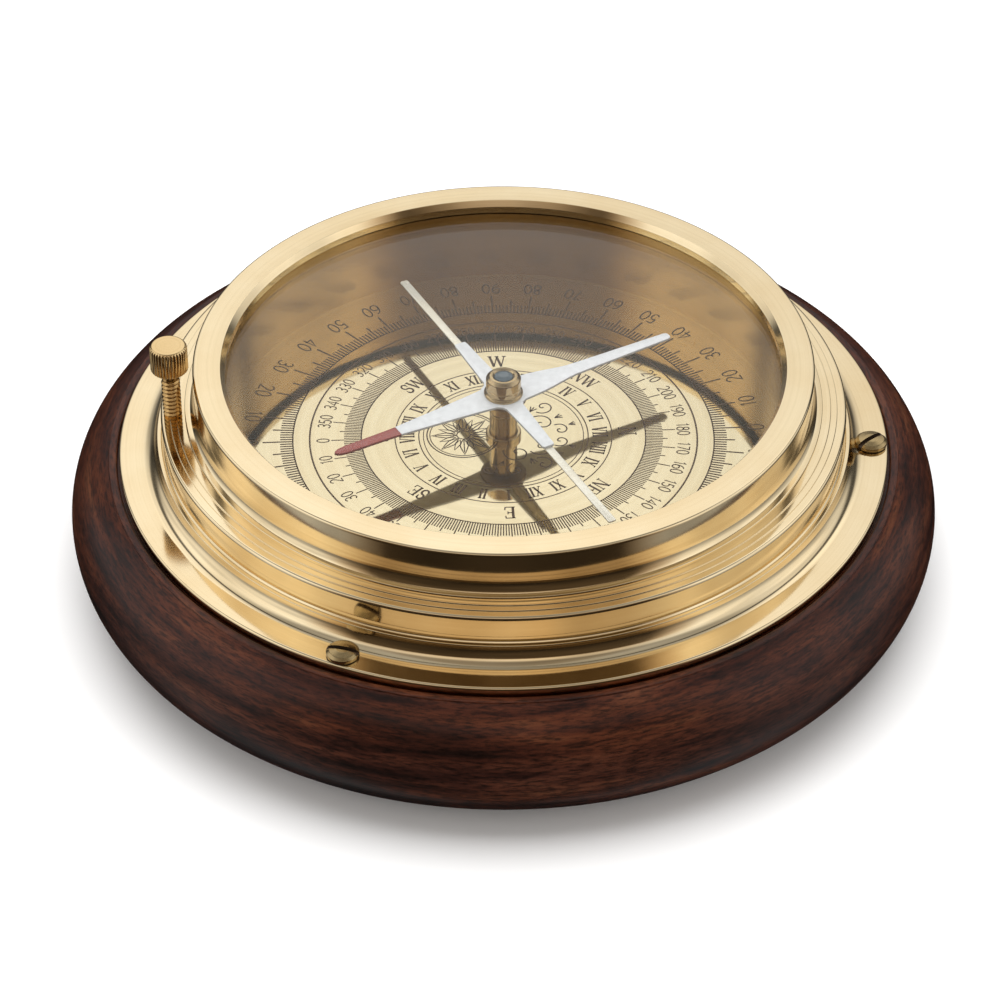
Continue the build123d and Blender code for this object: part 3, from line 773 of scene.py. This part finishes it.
def threaded_shank():
    """Right-handed helical thread: the phase of each point is its height less its share of a turn."""
    low, high = floor_of("lock_screw"), HEAD_LOW + 0.2 * MM
    crest = 1.6 * MM - SKIN
    around = 72
    rows = 20 * int((high - low) / PITCH)
    relief = high - 1.5 * MM
    rings = []
    for row in range(rows + 1):
        height = low + (high - low) * row / rows
        fade = min(1.0, max(0.0, (relief - height) / PITCH)) * min(1.0, (height - low) / (0.5 * PITCH))
        distances = []
        for step in range(around):
            phase = (height / PITCH - step / around) % 1.0
            slope = min(1.0, max(0.0, abs(2 * phase - 1) * 1.35 - 0.12))
            distances.append(crest - THREAD_DEPTH * (1 - fade * slope))
        rings.append(screw_ring(height, distances))
    return stacked("lock_shank", rings)


def lock_screw():
    place(knurled_head(), "lock_screw", "turned_brass", "lock_screw", material=screw_head_brass)
    place(threaded_shank(), "lock_screw", "turned_brass", material=thread_brass)


# ---- post, cap and needle
COLLAR_THICK = 1.0 * MM


def post():
    rim = reach("guide_bush") - SKIN
    low, top = heights_of("guide_bush")
    dial = top_of("dial_plate")
    outline = rounded((BUSH_BORE, low, 0), (BUSH_SHANK, low, 0), (BUSH_SHANK, dial, 0),
                      (rim, dial, 0.05 * MM), (rim, top, 0.22 * MM), (BUSH_BORE, top, 0.04 * MM))
    turned("bush_turned", outline, "case", "turned_brass", "guide_bush", 128)
    collar = reach("lift_sleeve") - SKIN
    low, high = heights_of("lift_sleeve")
    shank = 2.4 * MM - SKIN
    bore = 1.26 * MM
    outline = rounded(
        (bore, low, 0),
        (collar, low, 0.15 * MM),
        (collar, low + COLLAR_THICK, 0.15 * MM),
        (shank, low + COLLAR_THICK, 0.1 * MM),
        (shank, high - 2.2 * MM, 0.03 * MM),
        (shank - 0.14 * MM, high - 2.08 * MM, 0.05 * MM),
        (shank, high - 1.96 * MM, 0.03 * MM),
        (shank, high, 0.25 * MM),
        (bore, high, 0.1 * MM),
    )
    turned("sleeve_turned", outline, "sleeve", "turned_brass", "lift_sleeve", 128)


def return_spring():
    """Coil of round wire between the sleeve's collar and the nut."""
    wire = 0.2 * MM
    coil = 3.0 * MM
    clear = wire + 0.05 * MM
    collar = floor_of("lift_sleeve") + COLLAR_THICK
    nut = floor_of("bush_nut")
    turns, per_turn, around = 3, 72, 16
    rings = []
    for step in range(turns * per_turn + 1):
        out = at_angle(1.0, 360 * step / per_turn)
        height = collar + clear + (nut - collar - 2 * clear) * step / (turns * per_turn)
        ring = []
        for side in range(around):
            lean = math.tau * side / around
            distance = coil + wire * math.cos(lean)
            ring.append((out.x * distance, out.y * distance, height + wire * math.sin(lean)))
        rings.append(ring)
    piece = place(stacked("spring_coil", rings), "case", "steel", "return_spring")
    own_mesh(piece)


def cap():
    low, high = heights_of("pivot_cap")
    foot = reach("pivot_cap") - SKIN
    body = 3.0 * MM
    bore = 1.62 * MM
    groove = low + 1.55 * MM
    outline = rounded(
        (bore, low, 0),
        (foot, low, 0.08 * MM),
        (foot, low + 0.42 * MM, 0.2 * MM),
        (body, low + 0.62 * MM, 0.15 * MM),
        (body, groove - 0.14 * MM, 0.05 * MM),
        (body - 0.17 * MM, groove, 0.07 * MM),
        (body, groove + 0.14 * MM, 0.05 * MM),
        (body, high - 0.55 * MM, 0.3 * MM),
        (body - 0.62 * MM, high - 0.06 * MM, 0.22 * MM),
        (bore + 0.3 * MM, high, 0.1 * MM),
        (bore, high - 0.2 * MM, 0.1 * MM),
    )
    turned("cap_turned", outline, "needle", "turned_brass", "pivot_cap", 160)
    edge = reach("cap_jewel") - SKIN
    base, top = heights_of("cap_jewel")
    outline = rounded((0.0, base + 0.25 * MM, 0), (0.55 * MM, base, 0.05 * MM), (edge, base, 0.05 * MM),
                      (edge, top - 0.36 * MM, 0.2 * MM), (0.85 * MM, top - 0.05 * MM, 0.8 * MM),
                      (0.0, top, 0))
    turned("jewel_polished", outline, "needle", "jewel", "cap_jewel", 96)


NEEDLE_ANGLE = 30.5
CROSS_ANGLE = 117.6
HUB = 4.05 * MM
HUB_HOLE = 1.7 * MM
# each arm: (distance from the axis, half width) in millimetres, from the hub outwards
RED_ARM = ((4.3, 2.65), (7.5, 2.34), (10.9, 2.0), (14.0, 1.73), (16.8, 1.5), (19.0, 1.3), (20.6, 1.16))
RED_TIP = ((20.6, 1.13), (23.0, 1.05), (27.0, 0.97), (30.6, 0.90), (31.8, 0.74), (32.5, 0.42), (32.8, 0.0))
PLAIN_ARM = ((4.4, 3.05), (6.4, 2.86), (8.5, 2.5), (10.4, 2.08), (12.1, 1.72), (13.6, 1.5), (16.5, 1.36),
             (20.0, 1.25), (27.0, 1.05), (32.9, 0.87), (33.4, 0.70), (33.55, 0.40))
CROSS_ARM = ((4.3, 1.62), (8.0, 1.45), (12.0, 1.27), (15.9, 1.12), (16.3, 1.02), (16.45, 0.82))


def arm_side(stations, angle, side):
    """Points along one side of an arm, from the hub outwards."""
    out = at_angle(1.0, angle)
    across = left_of(out)
    return [out * distance * MM + across * side * half * MM for distance, half in stations]


def needle_outline(arms):
    """Outline round the hub disc and its arms, counter-clockwise; arms are (angle, stations) in order."""
    points = []
    for index, (angle, stations) in enumerate(arms):
        points += arm_side(stations, angle, -1)
        points += reversed(arm_side(stations, angle, 1))
        following, next_stations = arms[(index + 1) % len(arms)]
        leave = math.radians(angle) + math.asin(min(0.98, stations[0][1] * MM / HUB))
        arrive = math.radians(following) - math.asin(min(0.98, next_stations[0][1] * MM / HUB))
        span = (arrive - leave) % math.tau
        if span < math.pi:
            steps = max(2, int(span / math.radians(4)))
            for step in range(1, steps):
                turn = leave + span * step / steps
                points.append(Vector((math.cos(turn), math.sin(turn))) * HUB)
    return [(point.x, point.y) for point in points]


def needle():
    low, high = floor_of("needle_plate") + SKIN, top_of("needle_plate") - SKIN
    arms = [(NEEDLE_ANGLE, PLAIN_ARM), (CROSS_ANGLE, CROSS_ARM), (NEEDLE_ANGLE + 180, RED_ARM),
            (CROSS_ANGLE + 180, CROSS_ARM)]
    mesh = plate("needle_white", needle_outline(arms), low, high, 0.1 * MM)
    place(mesh, "needle", "needle_white", "needle_plate")
    tip = arm_side(RED_TIP, NEEDLE_ANGLE + 180, -1) + arm_side(RED_TIP, NEEDLE_ANGLE + 180, 1)[-2::-1]
    mesh = plate("needle_red_tip", [(point.x, point.y) for point in tip], low, high, 0.09 * MM)
    place(mesh, "needle", "needle_white", material=red_enamel)
    # the underside is a boss below the hub, down to the face that the sleeve lifts against; its dark brown
    # is painted shade and a painted reflection of the brass dial, for the shaded underside that the dial
    # reflects
    face, plate_foot = floor_of("hub_washer"), floor_of("needle_plate")
    outline = rounded((HUB_HOLE, face, 0), (HUB - 0.1 * MM, face, 0.05 * MM),
                      (HUB - 0.02 * MM, plate_foot, 0.02 * MM), (HUB_HOLE, plate_foot, 0))
    turned("hub_underside", outline, "needle", "bright_strip", "hub_washer", 128, underside_shade)


def cross_strip():
    """Two narrow strips with broken edges, each from under the hub out to the tip of the cross arm."""
    low, high = floor_of("cross_strip") + SKIN, top_of("cross_strip") - SKIN
    half = 0.74 * MM
    near, far = 2.0 * MM, 38.5 * MM
    chamfer = 0.25 * MM
    joined = bmesh.new()
    for side in (0, 180):
        turn = Matrix.Rotation(math.radians(CROSS_ANGLE + side), 2)
        corners = [(near, -half), (far - chamfer, -half), (far, -half + chamfer),
                   (far, half - chamfer), (far - chamfer, half), (near, half)]
        outline = [tuple(turn @ Vector(corner)) for corner in corners]
        joined.from_mesh(plate("strip", outline, low, high, 0.09 * MM))
    mesh = written(joined, bpy.data.meshes.new("cross_strip_bevelled"))
    place(mesh, "needle", "bright_strip", "cross_strip")


# ---- engraved scales
INK_HEIGHT = 0.012 * MM
INK_SINK = 0.03 * MM
DIAL_TURN = 3.0
ROUND_STEPS = 20
THIN, THICK = 0.07, 0.145


def ellipse(x, y, wide, tall, start=0.0, end=360.0):
    """Arc of an ellipse as a polyline, angles in degrees."""
    steps = max(4, int(ROUND_STEPS * abs(end - start) / 360))
    points = []
    for step in range(steps + 1):
        angle = math.radians(start + (end - start) * step / steps)
        points.append((x + wide * math.cos(angle), y + tall * math.sin(angle)))
    return points


SIX = [ellipse(0.3, 0.30, 0.28, 0.28), [(0.03, 0.32)] + ellipse(0.50, 0.40, 0.46, 0.57, 180, 95)]
# each digit: (width, lines), one unit tall
DIGITS = {
    "0": (0.62, [ellipse(0.31, 0.5, 0.27, 0.48)]),
    "1": (0.40, [[(0.06, 0.80), (0.24, 0.98), (0.24, 0.02)]]),
    "2": (0.60, [ellipse(0.30, 0.72, 0.25, 0.26, 165, -35) + [(0.05, 0.02), (0.56, 0.02)]]),
    "3": (0.58, [ellipse(0.27, 0.74, 0.22, 0.24, 150, -90) + ellipse(0.27, 0.27, 0.25, 0.25, 90, -150)]),
    "4": (0.62, [[(0.45, 0.02), (0.45, 0.98), (0.04, 0.30), (0.60, 0.30)]]),
    "5": (0.58, [[(0.50, 0.98), (0.12, 0.98), (0.08, 0.56)] + ellipse(0.27, 0.31, 0.25, 0.29, 125, -150)]),
    "6": (0.60, SIX),
    "7": (0.58, [[(0.04, 0.98), (0.54, 0.98), (0.22, 0.02)]]),
    "8": (0.58, [ellipse(0.29, 0.75, 0.20, 0.22), ellipse(0.29, 0.27, 0.25, 0.26)]),
    "9": (0.60, [[(0.6 - x, 1.0 - y) for x, y in line] for line in SIX]),
}


def thin(*points):
    return (list(points), THIN)


def thick(*points):
    return (list(points), THICK)


def foot(x, y, half=0.14):
    return thin((x - half, y), (x + half, y))


def stem(x, pen=THICK):
    return ([(x, 0.0), (x, 1.0)], pen)


# each Roman capital: (width, strokes), one unit tall, a stroke being (line, width of the pen)
LETTERS = {
    "N": (0.92, [stem(0.16, THIN), thick((0.16, 1.0), (0.76, 0.0)), stem(0.76, THIN),
                 foot(0.16, 0.03), foot(0.13, 0.97), foot(0.76, 0.97)]),
    "E": (0.76, [stem(0.20), thin((0.06, 0.97), (0.66, 0.97), (0.68, 0.76)), thin((0.2, 0.51), (0.52, 0.51)),
                 thin((0.52, 0.40), (0.52, 0.62)), thin((0.06, 0.03), (0.68, 0.03), (0.71, 0.27))]),
    "S": (0.66, [(ellipse(0.32, 0.74, 0.22, 0.24, 20, 270), 0.12),
                 (ellipse(0.32, 0.26, 0.24, 0.25, 90, -160), 0.14),
                 thin((0.53, 0.66), (0.53, 0.96)), thin((0.09, 0.06), (0.09, 0.36))]),
    "W": (1.22, [thick((0.12, 1.0), (0.38, 0.0)), thin((0.38, 0.0), (0.60, 0.9)),
                 thick((0.60, 0.95), (0.86, 0.0)), thin((0.86, 0.0), (1.10, 1.0)),
                 foot(0.12, 0.97), foot(0.60, 0.97), foot(1.10, 0.97)]),
    "I": (0.40, [stem(0.20), foot(0.20, 0.03, 0.17), foot(0.20, 0.97, 0.17)]),
    "V": (0.80, [thick((0.14, 1.0), (0.40, 0.0)), thin((0.40, 0.0), (0.66, 1.0)),
                 foot(0.14, 0.97), foot(0.66, 0.97)]),
    "X": (0.80, [thick((0.14, 1.0), (0.66, 0.0)), thin((0.14, 0.0), (0.66, 1.0)),
                 foot(0.14, 0.97), foot(0.66, 0.97), foot(0.14, 0.03), foot(0.66, 0.03)]),
}
ROMAN_RING = 16.65
COMPASS_RING = 21.4
HOURS = ("I", "II", "III", "IV", "V", "VI", "VII", "VIII", "IX", "X", "XI", "XII")


class Engraving:
    """Collects flat strokes on the dial and turns them into one thin solid relief of ink."""

    def __init__(self):
        self.points = []
        self.faces = []

    def stroke(self, line, width):
        """A band of that width along a polyline of plane points, as a closed prism."""
        closed = (line[0] - line[-1]).length < 0.02 * MM
        if closed:
            line = line[:-1]
        count = len(line)
        left, right = [], []
        for index, point in enumerate(line):
            before = line[index - 1] if index or closed else point
            after = line[(index + 1) % count] if index < count - 1 or closed else point
            second = (after - point).normalized()
            first = (point - before).normalized() if (point - before).length else second
            second = second if second.length else first
            along = first + second
            along = along.normalized() if along.length > 0.01 else second
            side = left_of(along)
            stretch = 1.0 / max(0.55, side.dot(left_of(second)))
            left.append(point + side * width / 2 * stretch)
            right.append(point - side * width / 2 * stretch)
        self.band(left, right, closed)

    def band(self, left, right, closed):
        base = len(self.points)
        count = len(left)
        top = top_of("dial_plate") + INK_HEIGHT
        bottom = top_of("dial_plate") - INK_SINK
        for row, height in ((left, top), (right, top), (left, bottom), (right, bottom)):
            self.points += [(point.x, point.y, height) for point in row]
        for index in range(count if closed else count - 1):
            here, there = base + index, base + (index + 1) % count
            self.faces.append((here, here + count, there + count, there))
            self.faces.append((here + 2 * count, there + 2 * count, there + 3 * count, here + 3 * count))
            self.faces.append((here, there, there + 2 * count, here + 2 * count))
            self.faces.append((here + count, here + 3 * count, there + 3 * count, there + count))
        if not closed:
            for end in (base, base + count - 1):
                self.faces.append((end, end + count, end + 3 * count, end + 2 * count))

    def ring(self, distance, width, centre=(0.0, 0.0), segments=360):
        turns = [360 * step / segments for step in range(segments + 1)]
        self.stroke([Vector(centre) + at_angle(distance * MM, turn) for turn in turns], width * MM)

    def tick(self, angle, start, end, width):
        self.stroke([at_angle(start * MM, angle), at_angle(end * MM, angle)], width * MM)

    def text(self, strokes, angle, distance, outward=True):
        """Strokes as (points, width) in millimetres about the middle of the text, set at an angle."""
        up = at_angle(1.0, angle) * (1 if outward else -1)
        right = Vector((up.y, -up.x))
        middle = at_angle(distance * MM, angle)
        for line, width in strokes:
            self.stroke([middle + (right * x + up * y) * MM for x, y in line], width * MM)

    def object(self):
        mesh = mesh_from("dial_engraving", self.points, self.faces)
        shape = editable(mesh)
        bmesh.ops.recalc_face_normals(shape, faces=shape.faces)
        put(written(shape, mesh), "case", "dial_brass", ink)


def text_strokes(shapes, word, tall, squeeze, gap=0.0, pen=None):
    """Strokes of a word, centred. Digits are lines for one pen, and letters bring their own pens."""
    widths = [shapes[sign][0] for sign in word]
    x = -(sum(widths) + gap * (len(word) - 1)) / 2
    strokes = []
    for sign, width in zip(word, widths):
        for stroke in shapes[sign][1]:
            line, own_pen = (stroke, pen) if pen else (stroke[0], stroke[1] * tall)
            strokes.append(([((x + px) * tall * squeeze, (py - 0.5) * tall) for px, py in line], own_pen))
        x += width + gap
    return strokes


INNER_SCALE = 24.5
OUTER_SCALE = 36.3
INNER_NUMBERS = 31.1
OUTER_NUMBERS = 43.7
TICKS = ((10, 29.7, 41.5), (5, 28.3, 39.9), (1, 27.5, 38.5))  # step in degrees, ends of both ticks
CIRCLES = ((INNER_SCALE, 0.22), (33.4, 0.30), (OUTER_SCALE, 0.24), (18.7, 0.20), (14.6, 0.20), (13.8, 0.16))
DIGIT_GAP = 0.13


def scales(cut):
    """Degrees in full inside, and in quadrants outside, with the numbers ten degrees apart."""
    for degree in range(360):
        angle = DIAL_TURN + degree
        every, inner_end, outer_end = next(row for row in TICKS if degree % row[0] == 0)
        cut.tick(angle, INNER_SCALE, inner_end, 0.21 if every == 1 else 0.23)
        cut.tick(angle, OUTER_SCALE, outer_end, 0.30 if every == 1 else 0.32)
        if every == 10:
            bearing = text_strokes(DIGITS, str((degree + 180) % 360), 2.2, 0.80, DIGIT_GAP, 0.23)
            cut.text(bearing, angle, INNER_NUMBERS)
            quadrant = text_strokes(DIGITS, str(90 - abs(90 - degree % 180)), 2.9, 0.82, DIGIT_GAP, 0.27)
            cut.text(quadrant, angle, OUTER_NUMBERS, outward=False)
    for distance, width in CIRCLES:
        cut.ring(distance, width)


def roman_ring(cut):
    """Hours twice round the dial, one after the other."""
    for index, hour in enumerate(2 * HOURS):
        cut.text(text_strokes(LETTERS, hour, 2.6, 0.70), DIAL_TURN + 90 - 15 * index, ROMAN_RING)


def compass_points(cut):
    """A reversed rose: east and west change places, as on every sighting dial."""
    points = {"W": 90, "NW": 45, "N": 0, "NE": 315, "E": 270, "SE": 225, "S": 180, "SW": 135}
    for word, angle in points.items():
        tall = 3.1 if len(word) == 1 else 2.7
        cut.text(text_strokes(LETTERS, word, tall, 0.86), DIAL_TURN + angle, COMPASS_RING)


ROSE_CENTRE = Vector((-6.9, 0.0)) * MM
PETAL = ((0.0, 0.0), (0.18, 0.55), (0.42, 1.0), (0.68, 0.62), (1.0, 0.0))


def petal(cut, angle, start, end, half, width):
    """Pointed petal about the rose's centre, as a closed line."""
    out = at_angle(1.0, angle)
    across = left_of(out)

    def side(shape, sign):
        return [ROSE_CENTRE + (out * (start + (end - start) * along) + across * half * wide * sign) * MM
                for along, wide in shape]

    near = side(PETAL, 1)
    cut.stroke(near + side(PETAL[-2:0:-1], -1) + near[:1], width * MM)


def rose(cut):
    for distance, width in ((6.3, 0.24), (5.8, 0.17), (1.15, 0.2)):
        cut.ring(distance, width, ROSE_CENTRE, 120)
    for index in range(8):
        angle = DIAL_TURN + 45 * index
        petal(cut, angle, 1.2, 5.5, 0.72, 0.20)
        cut.stroke([ROSE_CENTRE + at_angle(distance * MM, angle) for distance in (1.6, 4.9)], 0.20 * MM)
        petal(cut, angle + 22.5, 1.5, 4.5, 0.42, 0.17)


def scroll(cut, x, y, size, start, turn, width=0.25):
    """Engraver's curl: a line that winds in on itself from a point outwards."""
    steps = 26
    line = []
    for step in range(steps + 1):
        share = step / steps
        angle = start + turn * share
        distance = size * (1 - share) ** 0.8
        line.append(Vector((x, y)) * MM + at_angle(distance * MM, angle))
    cut.stroke(line, width * MM)


# each scroll: (x, y, size, start, turn), and each fan of leaves: (x, y, size, middle leaf's angle)
SCROLLS = ((2.4, 5.0, 2.5, 200, -430), (6.6, 3.4, 2.3, 150, -400), (9.8, 1.6, 1.6, 130, -380),
           (6.9, 8.0, 1.9, 230, 400), (2.1, 9.6, 1.7, 250, -390), (-2.6, 9.6, 1.6, 300, 390))
FANS = ((4.6, 6.6, 1.5, 60), (8.9, 4.9, 1.4, 30), (11.3, 3.0, 1.2, 20), (0.0, 7.4, 1.3, 110))


def flourish(cut):
    """Foliate scrolls beside the rose, across the middle of the dial."""
    for mirror in (1, -1):
        for x, y, size, start, turn in SCROLLS:
            scroll(cut, x, y * mirror, size, start * mirror, turn * mirror)
        for x, y, size, start in FANS:
            base = Vector((x, y * mirror)) * MM
            for fan in (-24, 0, 24):
                cut.stroke([base, base + at_angle(size * MM, (start + fan) * mirror)], 0.22 * MM)


def engraving():
    cut = Engraving()
    scales(cut)
    roman_ring(cut)
    compass_points(cut)
    rose(cut)
    flourish(cut)
    cut.object()


wood_base()
felt_pad()
flange_body()
bezel_ring()
cover_glass()
dial_plate()
flange_screws()
lock_screw()
post()
return_spring()
cap()
needle()
cross_strip()
engraving()


# ---- floor, light and camera
def make_floor():
    size = 4.0
    corners = [(-size, -size, 0), (size, -size, 0), (size, size, 0), (-size, size, 0)]
    floor = added("floor", mesh_from("floor", corners, [(0, 1, 2, 3)]))
    material, tree, surface = new_material("pale_floor", Roughness=0.9, Specular_IOR_Level=0.0)
    cloud = noise(tree, object_place(tree), 3.0, 2.0)
    drive(surface, Base_Color=ramp(tree, cloud, [(0.0, (0.93, 0.93, 0.93)), (1.0, (0.95, 0.95, 0.95))]))
    floor.data.materials.append(material)
    floor.visible_glossy = False


# headings are in degrees from -Y to either side, elevations in degrees
GAP_SIDES = (44, 62)
GAP_TOP = (36.4, 42.0)
GAP_DEPTH = 0.93
FRONT_VEIL = 0.30
GAP_TINT = (1.0, 0.70, 0.42, 1.0)
SIDE_TO_BACK = (115, 145)
SIDE_LEVEL = 0.95
BACK_LEVEL = 0.13
SKY_RISE = (6, 42)
HIGH_SKY = 1.22
ZENITH_FADE = (49, 59)
ZENITH = 0.34
HORIZON = (-14, 4)
FLOOR_FADE = (85, 115)
COLUMN_HEADING = 134
COLUMN_EDGE = (3.5, 9)
COLUMN_LEVEL = 0.14


def fade(tree, value, degrees, first, last, measure=math.radians):
    """Goes from the first level to the last between two angles in degrees, in the value's own measure."""
    low, high = (measure(angle) for angle in degrees)
    return spread(tree, value, low, high, first, last)


def sine(degrees):
    return math.sin(math.radians(degrees))


def make_world():
    """A white studio, brightest halfway up. It is dim straight above and low down at the back, and dark in a
    wide warm gap low down about -Y and in a soft column to either side of +Y."""
    world = bpy.data.worlds.new("studio")
    bpy.context.scene.world = world
    world.use_nodes = True
    tree = world.node_tree
    background = tree.nodes["Background"]
    direction = add(tree, "TexCoord").outputs["Generated"]
    parts = add(tree, "SeparateXYZ", {0: direction}).outputs
    aside = math_node(tree, "ABSOLUTE", parts["X"])
    heading = math_node(tree, "ARCTAN2", aside, product(tree, parts["Y"], -1.0))
    height = parts["Z"]
    beside = fade(tree, heading, GAP_SIDES, 1.0, 0.0)
    shade = product(tree, fade(tree, height, GAP_TOP, GAP_DEPTH, FRONT_VEIL, sine), beside)
    level = fade(tree, heading, SIDE_TO_BACK, SIDE_LEVEL, BACK_LEVEL)
    rise = fade(tree, height, SKY_RISE, 0.0, 1.0, sine)
    climb = product(tree, rise, math_node(tree, "SUBTRACT", HIGH_SKY, level))
    cards = spread(tree, noise(tree, direction, 2.2, 1.0), 0.36, 0.60, 0.70, 1.08)
    zenith = fade(tree, height, ZENITH_FADE, 1.0, ZENITH, sine)
    floor_level = fade(tree, heading, FLOOR_FADE, 0.50, 0.05)
    under = fade(tree, height, HORIZON, floor_level, 1.0, sine)
    from_column = math_node(tree, "SUBTRACT", heading, math.radians(COLUMN_HEADING))
    column = fade(tree, math_node(tree, "ABSOLUTE", from_column), COLUMN_EDGE, COLUMN_LEVEL, 1.0)
    light = product(tree, math_node(tree, "ADD", level, climb), cards)
    for part in (zenith, under, column, math_node(tree, "SUBTRACT", 1.0, shade)):
        light = product(tree, light, part)
    warm = add(tree, "Mix", {"Factor": shade, 6: (1.0, 1.0, 1.0, 1.0), 7: GAP_TINT}, data_type="RGBA")
    colour = vector_node(tree, "SCALE", {0: warm.outputs[2], "Scale": light})
    tree.links.new(colour, background.inputs["Color"])
    background.inputs["Strength"].default_value = 1.0


def make_softbox(name, location, size, power):
    """Soft lamp that faces the compass. Mirror reflections don't show it."""
    data = bpy.data.lights.new(name, "AREA")
    data.shape = "RECTANGLE"
    data.size, data.size_y = size
    data.energy = power
    lamp = added(name, data)
    lamp.location = location
    lamp.rotation_euler = Vector(location).to_track_quat("Z", "Y").to_euler()
    lamp.visible_glossy = False


ELEVATION = math.radians(38.6)
CAMERA_DISTANCE = 0.6178
TARGET = Vector((-0.0006, 0.0, 0.01094))
SENSOR, LENS = 36.0, 127.08


def make_camera():
    data = bpy.data.cameras.new("camera")
    data.sensor_width = SENSOR
    data.lens = LENS
    data.clip_start = 0.01
    camera = added("camera", data)
    back = Vector((0.0, -math.cos(ELEVATION), math.sin(ELEVATION)))
    camera.location = TARGET + back * CAMERA_DISTANCE
    camera.rotation_euler = back.to_track_quat("Z", "Y").to_euler()
    bpy.context.scene.camera = camera


make_floor()
make_world()
make_softbox("top_softbox", (0.0, 0.25, 1.1), (1.4, 1.2), 16.0)
make_softbox("front_fill", (0.0, -0.9, 0.45), (0.8, 0.5), 2.4)
make_camera()
bpy.context.scene.view_settings.view_transform = "Standard"
